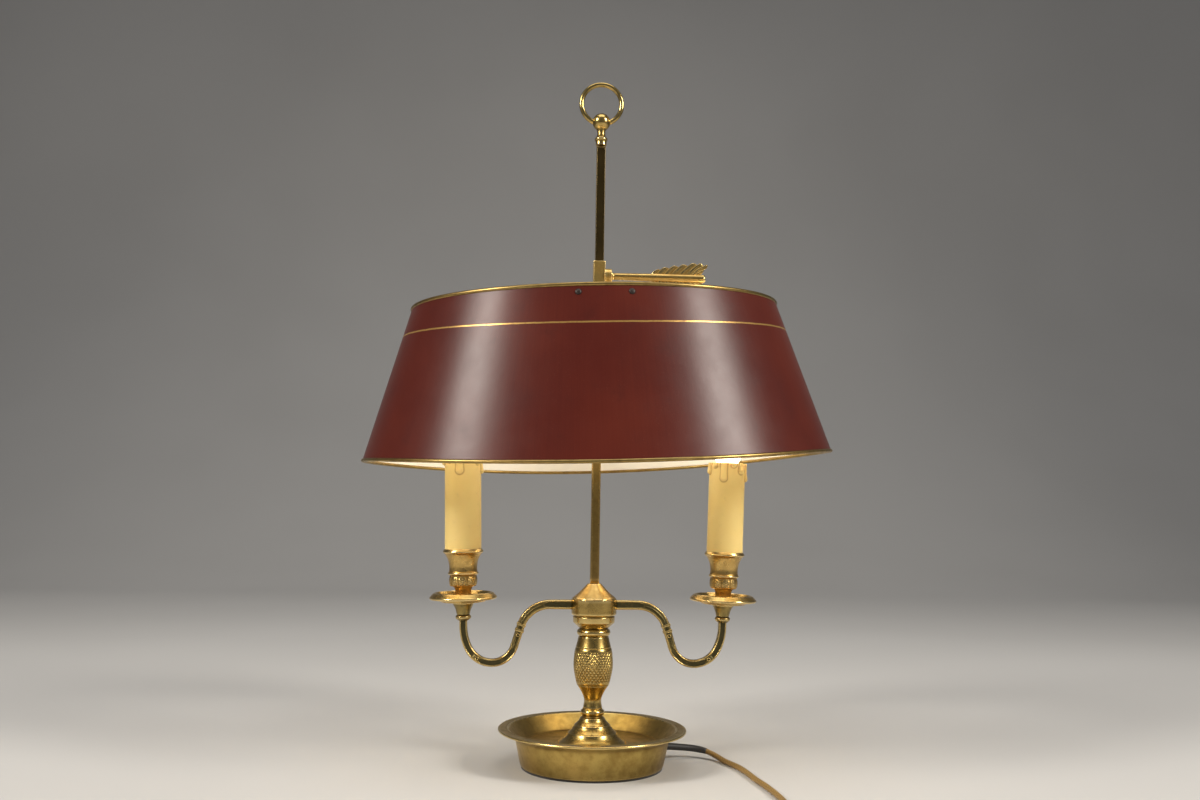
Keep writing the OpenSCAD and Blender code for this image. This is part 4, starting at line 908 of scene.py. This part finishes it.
def buildShell(s):
    # outside rows first, then the inside back up; both ends are closed
    drops = [0.0, 0.004, 0.012] + [k/s["rows"] for k in range(1, s["rows"])] + [0.988, 0.996, 1.0]
    ring = [(1 - d, s["sheet"]/2) for d in drops] + [(1 - d, -s["sheet"]/2) for d in reversed(drops)]
    sections, drop = [], []
    for k in range(s["steps"]):
        turn = 2*math.pi*k/s["steps"]
        low, high = s["inset"]/wallHeight(turn), 1 - s["inset"]/wallHeight(turn)
        shares = [(between(low, high, t), off) for t, off in ring]
        sections.append([wall(turn, share, off) for share, off in shares])
        drop += [(1 - share)*wallHeight(turn)*mm if off > 0 else 1.0 for share, off in shares]
    paintBook["shadeLacquer"] = lacquerPaint(lacquerLook)
    piece = addPiece("shadeShell", loft(sections, True), shadePlace, "shade", "lacquer", "shadeLacquer",
                     "shade_shell")
    keepValues(piece.data, "drop", drop)
    piece.data.materials.append(liningPaint(liningLook))
    for index, polygon in enumerate(piece.data.polygons):
        polygon.material_index = 1 if index % len(ring) >= len(drops) - 1 else 0


def beadPart(t, radius):
    sections = []
    for k in range(shadeSizes["steps"]):
        turn = 2*math.pi*k/shadeSizes["steps"]
        out = Vector((math.cos(turn)/shadeSizes["lowA"], math.sin(turn)/shadeSizes["lowB"], 0)).normalized()
        section = []
        for j in range(shadeSizes["beadSides"]):
            roll = 2*math.pi*j/shadeSizes["beadSides"]
            section.append(wall(turn, t) + radius*mm*(out*math.cos(roll) + Vector((0, 0, math.sin(roll)))))
        sections.append(section)
    return loft(sections, True)


# a rivet sits square on the flat between two stations of the wall
def rivetPlace(turn):
    half = math.pi/shadeSizes["stations"]
    t = 1 - shadeSizes["rivetDrop"]/wallHeight(turn)
    a, b = wall(turn - half, t), wall(turn + half, t)
    out = (b - a).cross(wall(turn, 1) - wall(turn, 0)).normalized()
    return Matrix.Translation((a + b)/2) @ out.to_track_quat("Z", "Y").to_matrix().to_4x4()


buildShell(shadeSizes)
for name, node, t, size in (("shadeTopBead", "shade_top_bead", 1, "beadTop"),
                            ("shadeLowBead", "shade_bottom_bead", 0, "beadLow")):
    addPiece(name, beadPart(t, shadeSizes[size]), shadePlace, "shade", "brass", "beadBrass", node)
rivetProfile = [(0, -2.95), (1.2, -2.95), (1.9, -2.6), (1.95, -2.1), (1.2, -2.05), (1.2, 0.4), (2.25, 0.42),
                (2.2, 0.75), (1.7, 1.2), (0.9, 1.42), (0, 1.48)]
footRivet = [(0, -2.85), (1.2, -2.8), (1.9, -2.5), (1.95, -2.03), (1.2, -2.0), (1.2, 1.6), (2.1, 1.62),
             (2.0, 1.95), (1.4, 2.35), (0.7, 2.5), (0, 2.52)]
rivet, foot = lathe(rivetProfile, 32, None, 0.3), lathe(footRivet, 32, None, 0.3)
heads = [moved(rivet, rivetPlace(math.radians(turn))) for turn in shadeSizes["rivetTurns"]]
heads += [moved(foot, placeAt(0, side*shadeSizes["footRivet"])) for side in (-1, 1)]
addPiece("shadeRivets", joined(*heads), shadePlace, "shade", "dark_steel", "blackSteel", "shade_rivets")
print("shade done")

# the carrier: a square sleeve on the stem with a foot for the strap and a boss for the key
keyZ = 366.4     # height of the key's axis
carrierSizes = {"half": 4.5, "bore": 3.45, "low": 335.0, "high": 377.5, "soft": 0.5,
                "foot": (8.0, 10.25, 1.6), "bossInner": 2.6, "bossRadius": 5.75,
                "bossFrom": 4.0, "bossTo": 9.6}


def buildCarrier(c):
    half, low, high = c["half"], c["low"], c["high"]
    rows = [(c["bore"], low), (half - 0.4, low), (half - 0.1, low + 0.12), (half, low + 0.45)]
    rows += [(half, between(low + 1.2, high - 1.2, k/9)) for k in range(10)]
    rows += [(half, high - 0.4), (half - 0.1, high - 0.1), (half - 0.4, high), (c["bore"], high),
             (c["bore"], high - 0.6), (c["bore"], low + 0.6)]
    outline = squareLine(half, c["soft"], 1.8)
    rings = [[(q.x*h/half*mm, q.y*h/half*mm, z*mm) for q in outline] for h, z in rows]
    crest = []
    for h, z in rows:
        for q in rings[0]:
            corner = min(abs(q[0]), abs(q[1])) > c["bore"]*0.86*mm and h > half - 0.2
            crest.append(0.9 if corner or half - 0.2 < h < half else 0.0)
    foot = softBox([-v for v in c["foot"][:2]] + [0.0], c["foot"], 0.35)
    boss = lathe([(c["bossInner"], c["bossFrom"]), (c["bossRadius"], c["bossFrom"]),
                  (c["bossRadius"], c["bossTo"], 0.5), (c["bossInner"], c["bossTo"], 0.2)], 72)
    boss = moved(boss, placeAt(0, 0, keyZ, 90))
    part = joined((*loft(rings, True), crest), moved(foot, shadePlace), boss)
    addPiece("carrier", part, placeAt(), "shade", "brass", "carrierBrass", "carrier")


buildCarrier(carrierSizes)
print("carrier done")

# the arrow key: a turned shaft with two feathered vanes
keySizes = {"vaneX": 40.4, "end": 84.0, "root": 2.2, "barbs": 8, "thick": 2.5, "lean": (0.65, 1.15),
            "notch": 0.17, "tongue": 6.0, "along": 168, "outward": 18,
            # the vane's outline as (share of its length, height above the axis)
            "outline": [(0.0, 3.0), (0.035, 5.0), (0.125, 7.2), (0.41, 9.7), (0.81, 12.6), (1.0, 10.8)]}
shaftProfile = ([(0, 3.35), (2.2, 3.35, 0.3), (2.5, 4.0), (2.5, 9.2), (2.35, 9.65), (2.9, 9.68, 0.3),
                 (3.0, 10.6, 0.2), (2.65, 11.2, 0.2)]
                + flow([(2.65, 12), (2.8, 26), (3.1, 42), (3.2, 60), (3.2, 78)], 4)
                + [(3.25, 80.6, 0.3), (2.5, 82, 0.4), (1.2, 81.2, 0.2), (0, 81.0)])


def vaneReach(outline, u):
    for a, b in zip(outline, outline[1:]):
        if u <= b[0]:
            return between(a[1], b[1], (u - a[0])/(b[0] - a[0]))
    return outline[-1][1]


# one feather: barbs lean back toward the tail and end in a notched edge
def vanePart(k, side):
    along, outward = k["along"], k["outward"]
    length = k["end"] - k["vaneX"]
    verts, faces, crest = [], [], []
    for face in (1, -1):
        for i in range(along + 1):
            for j in range(outward + 1):
                u, v = i/along, j/outward
                reach = vaneReach(k["outline"], u)
                lean = v*(reach - k["root"])*between(*k["lean"], u)
                cell = ((u*length - lean)/length*k["barbs"] + 0.5) % 1
                ridge = math.sin(math.pi*cell) ** 0.85
                notch = 1 - k["notch"]*(1 - ridge)*v**1.6
                up = between(k["root"], reach*notch, v)
                x = k["vaneX"] + u*length - (1 - v)*k["tongue"]*smoothStep(0.68, 1.0, u)
                thick = k["thick"]/2*(1 - 0.30*v)*(0.42 + 0.58*ridge)
                thick *= smoothStep(-0.02, 0.05, u)*0.8 + 0.2
                verts.append((x*mm, face*thick*mm, side*up*mm))
                crest.append(max(-1.0, (ridge*1.9 - 1.15)*(0.35 + 0.65*v)))
    row = outward + 1
    half = (along + 1)*row
    for i in range(along):
        for j in range(outward):
            a = i*row + j
            faces.append((a, a + row, a + row + 1, a + 1))
            faces.append((half + a + 1, half + a + row + 1, half + a + row, half + a))
    border = ([i*row for i in range(along + 1)] + [along*row + j for j in range(1, row)]
              + [i*row + outward for i in range(along - 1, -1, -1)] + list(range(outward - 1, 0, -1)))
    for a, b in zip(border, border[1:] + border[:1]):
        faces.append((a, b, half + b, half + a))
    return verts, faces, crest


shaft = moved(lathe(shaftProfile, 64), placeAt(degrees=90))
arrow = joined(shaft, vanePart(keySizes, 1), vanePart(keySizes, -1))
addPiece("arrowKey", arrow, placeAt(z=keyZ), "key", "brass", "goldBrass", "arrow_key")
print("key done")

# the cord: it leaves the dish, runs through its switch, is put away in a coil and ends in the plug
cordSizes = {
    "diameter": 4.0, "sides": 16, "lift": 0.03,
    "sleeveWide": 5.0, "sleevePoints": 6, "sleeveSides": 24,
    "fromLamp": [[51.4, 18.7, 10], [59, 21.5, 9.9], [68, 24.7, 8.8], [77, 27.2, 7.6], [84, 27, 6.6],
                 [89.5, 24.4, 5.6], [94, 19.8, 4.2], [97.5, 14, 2.9], [100.5, 6, 2.1], [104, -4, 2.05],
                 [107.4, -15, 2.05], [110, -32, 2.05], [112, -51, 2.05], [114.8, -68, 2.05],
                 [116.8, -86, 2.05], [118, -104, 2.05], [118, -120, 2.05], [118, -134, 2.1],
                 [118, -148, 4], [118, -160, 6.8], [118, -168, 8], [118, -174, 8], [118, -184, 8]],
    "inSwitch": [[118, -194, 6.6], [118, -203, 5.1], [118, -212, 6.6]],
    "toCoil": [[118, -222, 8], [118, -232, 8], [118, -238, 7.9], [118, -245, 6.6], [118, -253, 4.2],
               [118, -261, 2.4], [118, -269, 2.05], [118, -277, 2.05]],
    "toPlug": [[58, -277, 6.05], [58, -268, 5.9], [58, -259, 5], [58, -250, 4.6], [58, -242, 5.8],
               [58, -235, 6.8], [58, -230, 6.85], [58, -224, 6.85]],
    "coilCentre": (88, -285),
    # turns travelled in degrees, then the ring's radius and height from there on
    "coilSteps": [(265, 26, 2), (625, 22, 2), (985, 18, 2), (1300, 18, 6), (1615, 22, 6), (1930, 22, 10),
                  (2245, 26, 10), (2560, 26, 6), (2875, 30, 6)],
    "coilStart": (30, 2), "coilTurn": 3060, "coilPitch": 15, "coilLift": 0.05, "stepSpan": 100,
}


def coilPoint(c, travelled):
    radius, height = c["coilStart"]
    for at, nextRadius, nextHeight in c["coilSteps"]:
        share = smoothStep(0, c["stepSpan"], travelled - at)
        radius, height = between(radius, nextRadius, share), between(height, nextHeight, share)
    turn = math.radians(-travelled)
    x, y = c["coilCentre"]
    return [x + radius*math.cos(turn), y + radius*math.sin(turn), height + c["coilLift"]]


def cordLine(c):
    coil = [coilPoint(c, t) for t in range(0, c["coilTurn"] + 1, c["coilPitch"])]
    line = flow(c["fromLamp"] + c["inSwitch"] + c["toCoil"] + coil + c["toPlug"], 3)
    return [(x*mm, y*mm, max(z, c["diameter"]/2 + c["lift"])*mm) for x, y, z in line]


braidLook = {"deep": (0.20, 0.105, 0.022), "gold": (0.40, 0.245, 0.068), "stain": (0.26, 0.15, 0.04),
             "alongPitch": 900, "aroundPitch": 1400, "rough": 0.36}


# round flex with a fine braid: "along" and "around" are in metres
def braidPaint(look):
    paint = Paint("goldBraid")
    along, around = paint.attribute("along"), paint.attribute("around")
    cloud = paint.noise(30, 2)
    turns = [along*look["alongPitch"] + around*look["aroundPitch"],
             along*look["alongPitch"] - around*look["aroundPitch"]]
    strands = abs(turns[0].calc("SINE"))*0.5 + abs(turns[1].calc("SINE"))*0.5
    tone = paint.blend(strands, look["deep"], look["gold"])
    tone = paint.blend(cloud.ramp(0.4, 0.7)*0.4, tone, look["stain"])
    return paint.surface(Base_Color=tone, Roughness=look["rough"] + (1 - strands)*0.2, Coat_Weight=0.15,
                         Coat_Roughness=0.3, Normal=paint.bump(strands, 0.00012, 0.6))


switchSizes = {"at": (118, -203), "long": 56, "wide": 19, "openX": 4.5, "openY": 7.2, "openTo": 20,
               "rocker": (8.4, 11, (2, 5.4)),     # width, length, and low and high from the pin
               "wheel": 3.2, "pin": 1.2, "pinZ": 10.6, "tilt": 8,
               # name, node, floor of the opening, and the outline's rows as (inset, height)
               "halves": [
                   ("switchBase", "switch_base", 3.0,
                    [(1.4, 0.05), (0.45, 0.3), (0, 1.1), (0, 4), (0, 7.3), (0.12, 7.75), (0.4, 7.92)]),
                   ("switchCover", "switch_cover", 6.0,
                    [(0.4, 8.03), (0.12, 8.2), (0, 8.6), (0, 11.2), (0.25, 12.6), (0.9, 13.8), (1.8, 14.6),
                     (2.8, 14.95), (4.2, 15.0)])]}
plugSizes = {"at": (58, -230), "long": 36, "wide": 34, "high": 13.7, "pinGap": 18.6, "pinRadius": 2,
             "pinLong": 19, "pinDeep": 7.8,
             "rows": [(2.6, 0.05), (1.2, 0.35), (0.35, 1.1), (0, 2.4), (0, 6.8), (0, 11.3), (0.35, 12.6),
                      (1.2, 13.35), (2.6, 13.65)]}


# a ring with round ends and straight sides
def stadium(c, inset, z):
    radius, off = c["wide"]/2 - inset, (c["long"] - c["wide"])/2
    ring = arc((0, off), radius, 0, 180, 18) + arc((0, -off), radius, 180, 360, 18)
    return [(x*mm, y*mm, z*mm) for x, y in ring]


def buildSwitch(c):
    for name, node, floor, rows in c["halves"]:
        piece = buildPiece(name, *loft([stadium(c, inset, z) for inset, z in rows]))
        opening = softBox((-c["openX"], -c["openY"], floor), (c["openX"], c["openY"], c["openTo"]), 0.2, 2)
        cutWith(piece, buildPiece("opening", *opening[:2]))
        piece.matrix_world = placeAt(*c["at"])
        mount(piece, "base", "black_plastic", "blackPlastic", node)
    wide, long, (low, high) = c["rocker"]
    parts = [softBox((-wide/2, -long/2, low), (wide/2, long/2, high), 0.9, 4)]
    for radius, reach in ((c["wheel"], wide/2 - 0.1), (c["pin"], c["openX"] - 0.05)):
        wheel = lathe([(0, -reach), (radius, -reach, 0.3), (radius, reach, 0.3), (0, reach)], 48)
        parts.append(moved(wheel, placeAt(degrees=90)))
    addPiece("switchRocker", joined(*parts)[:2], placeAt(*c["at"], c["pinZ"], c["tilt"], "X"),
             "rocker", "ivory_plastic", "ivoryPlastic", "switch_rocker")


def buildPlug(c):
    half, long = c["wide"]/2, c["long"]
    edge = flow([(6.0, 0.0), (7.0, 2.0), (8.5, 9.0), (half - 3, 20.0), (half, long - 8.0)], 4)
    edge += [(half, long - 4.0), (half, long - 1.6), (half - 0.5, long - 0.5), (half - 1.6, long),
             (half - 6, long)]
    outline = edge + [(-x, y) for x, y in reversed(edge)]
    sections = [[(x*(1 - inset/half)*mm, (y + (0.5 - y/long)*inset)*mm, z*mm) for x, y in outline]
                for inset, z in c["rows"]]
    place = placeAt(*c["at"])
    addPiece("plugBody", loft(sections), place, "base", "black_plastic", "blackPlastic", "plug_body")
    low, high = long - c["pinDeep"], long + c["pinLong"]
    pin = lathe([(0, low), (c["pinRadius"], low), (c["pinRadius"], high, 0.9), (0, high)], 40)
    pins = [moved(pin, placeAt(side*c["pinGap"]/2, 0, c["high"]/2, -90, "X")) for side in (-1, 1)]
    addPiece("plugPins", joined(*pins)[:2], place, "base", "steel", "platedSteel", "plug_pins")


def buildCord(c):
    line, sides, radius = cordLine(c), c["sides"], c["diameter"]/2*mm
    verts, faces, along = tubeMesh(line, radius, sides)
    print("cord length", round(along[-1], 4))
    paintBook["goldBraid"] = braidPaint(braidLook)
    piece = addPiece("cord", (verts, faces), placeAt(), "base", "cord", "goldBraid",
                     "cord_lamp", "cord_mid", "cord_coil", "cord_end")
    keepValues(piece.data, "along", [a for a in along for k in range(sides)])
    keepValues(piece.data, "around", [2*math.pi*k/sides*radius for a in along for k in range(sides)])
    # the sleeve narrows a little and is turned in at both ends
    reach, half = 3*(c["sleevePoints"] - 1), c["sleeveWide"]/2
    radii = [between(half + 0.1, half - 0.05, i/reach) for i in range(reach + 1)]
    radii[0] -= 0.35
    radii[1] -= 0.05
    radii[-3:] = [half - 0.1, half - 0.2, c["diameter"]/2 + 0.12]
    sleeve = tubeMesh(line[:reach + 1], [r*mm for r in radii], c["sleeveSides"])[:2]
    addPiece("cordSleeve", sleeve, placeAt(), "base", "black_rubber", "blackRubber", "cord_sleeve")


buildSwitch(switchSizes)
buildPlug(plugSizes)
buildCord(cordSizes)
print("cord done")

# the pieces kept as they are in the frame, by finish
keptFinishes = {
    "shadowFelt": ["felt_pad"],
    "roughIron": ["ballast_ring"],
    "platedSteel": ["bottom_plate", "tube_nut", "tube_washer", "centre_tube", "candle_rod_left",
                    "candle_rod_right", "bulb_cap_left", "bulb_cap_right"],
    "blackRubber": ["cord_bush"],
    "blackPlastic": ["terminal_block"],
    "wireCover": ["base_cable", "riser_wires", "arm_wire_left", "arm_wire_right"],
    "ivoryPlastic": ["splice_block", "lampholder_left", "lampholder_right"],
    "plainBrass": ["screw_shell_left", "screw_shell_right", "shade_strap"],
    "ringBrass": ["finger_ring"],
}
for finish, names in keptFinishes.items():
    for name in names:
        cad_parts[name].data.materials.clear()
        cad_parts[name].data.materials.append(paintBook[finish])
print("kept pieces done")

# the floor, in metres
stageSizes = {"front": -8.0, "bend": 1.6, "radius": 1.4, "high": 4.6, "wide": 9.0,
              "tone": (0.60, 0.585, 0.565), "mate": (0.635, 0.62, 0.60), "rough": 0.86}


def stagePaint(look):
    paint = Paint("paleFloor")
    cloud, grain = paint.noise(1.4, 2), paint.noise(300, 2)
    tone = paint.blend(cloud.ramp(0.3, 0.7), look["tone"], look["mate"])
    return paint.surface(Base_Color=tone, Roughness=look["rough"] + (grain - 0.5)*0.1,
                         Normal=paint.bump(grain, 0.00005, 0.2))


# flat floor that rises behind the lamp in one true arc
def buildStage(s):
    rows = [(s["front"], 0.0), (-1.0, 0.0), (0.0, 0.0), (0.8, 0.0)]
    rows += arc((s["bend"], s["radius"]), s["radius"], -90, 0, 48)
    rows += [(s["bend"] + s["radius"], s["high"])]
    verts = [(x, y, z) for y, z in rows for x in (-s["wide"], s["wide"])]
    faces = [(2*i, 2*i + 1, 2*i + 3, 2*i + 2) for i in range(len(rows) - 1)]
    floor = buildPiece("floor", verts, faces)
    floor.data.materials.append(stagePaint(s))


buildStage(stageSizes)

# place, aim, size, power in watts, colour and spread in degrees
softLights = {
    "softLeft": ((-1.55, -0.86, 1.28), (0, 0, 0.28), (0.44, 0.76), 12.5, (1, 0.95, 0.87), 120),
    "softRight": ((1.47, -0.95, 1.24), (0, 0, 0.28), (0.44, 0.76), 12.5, (1, 0.95, 0.87), 120),
    "softTop": ((0, -0.2, 2.3), (0, 0, 0.2), (1.6, 1.6), 16.5, (1, 0.98, 0.95), 180),
}
worldLight = {"Color": (0.8, 0.82, 0.86, 1), "Strength": 0.16}


def areaLight(name, place, aim, size, power, colour, spread):
    data = bpy.data.lights.new(name, "AREA")
    data.shape, data.size, data.size_y = "RECTANGLE", size[0], size[1]
    data.energy, data.color, data.spread = power, colour, math.radians(spread)
    lamp = bpy.data.objects.new(name, data)
    look = (Vector(aim) - Vector(place)).to_track_quat("-Z", "Y").to_matrix().to_4x4()
    lamp.matrix_world = Matrix.Translation(place) @ look
    bpy.context.scene.collection.objects.link(lamp)


for name, values in softLights.items():
    areaLight(name, *values)
world = bpy.data.worlds.new("world")
bpy.context.scene.world = world
world.use_nodes = True
for key, value in worldLight.items():
    world.node_tree.nodes["Background"].inputs[key].default_value = value
bpy.context.scene.view_settings.view_transform = "Standard"
print("stage and light done")
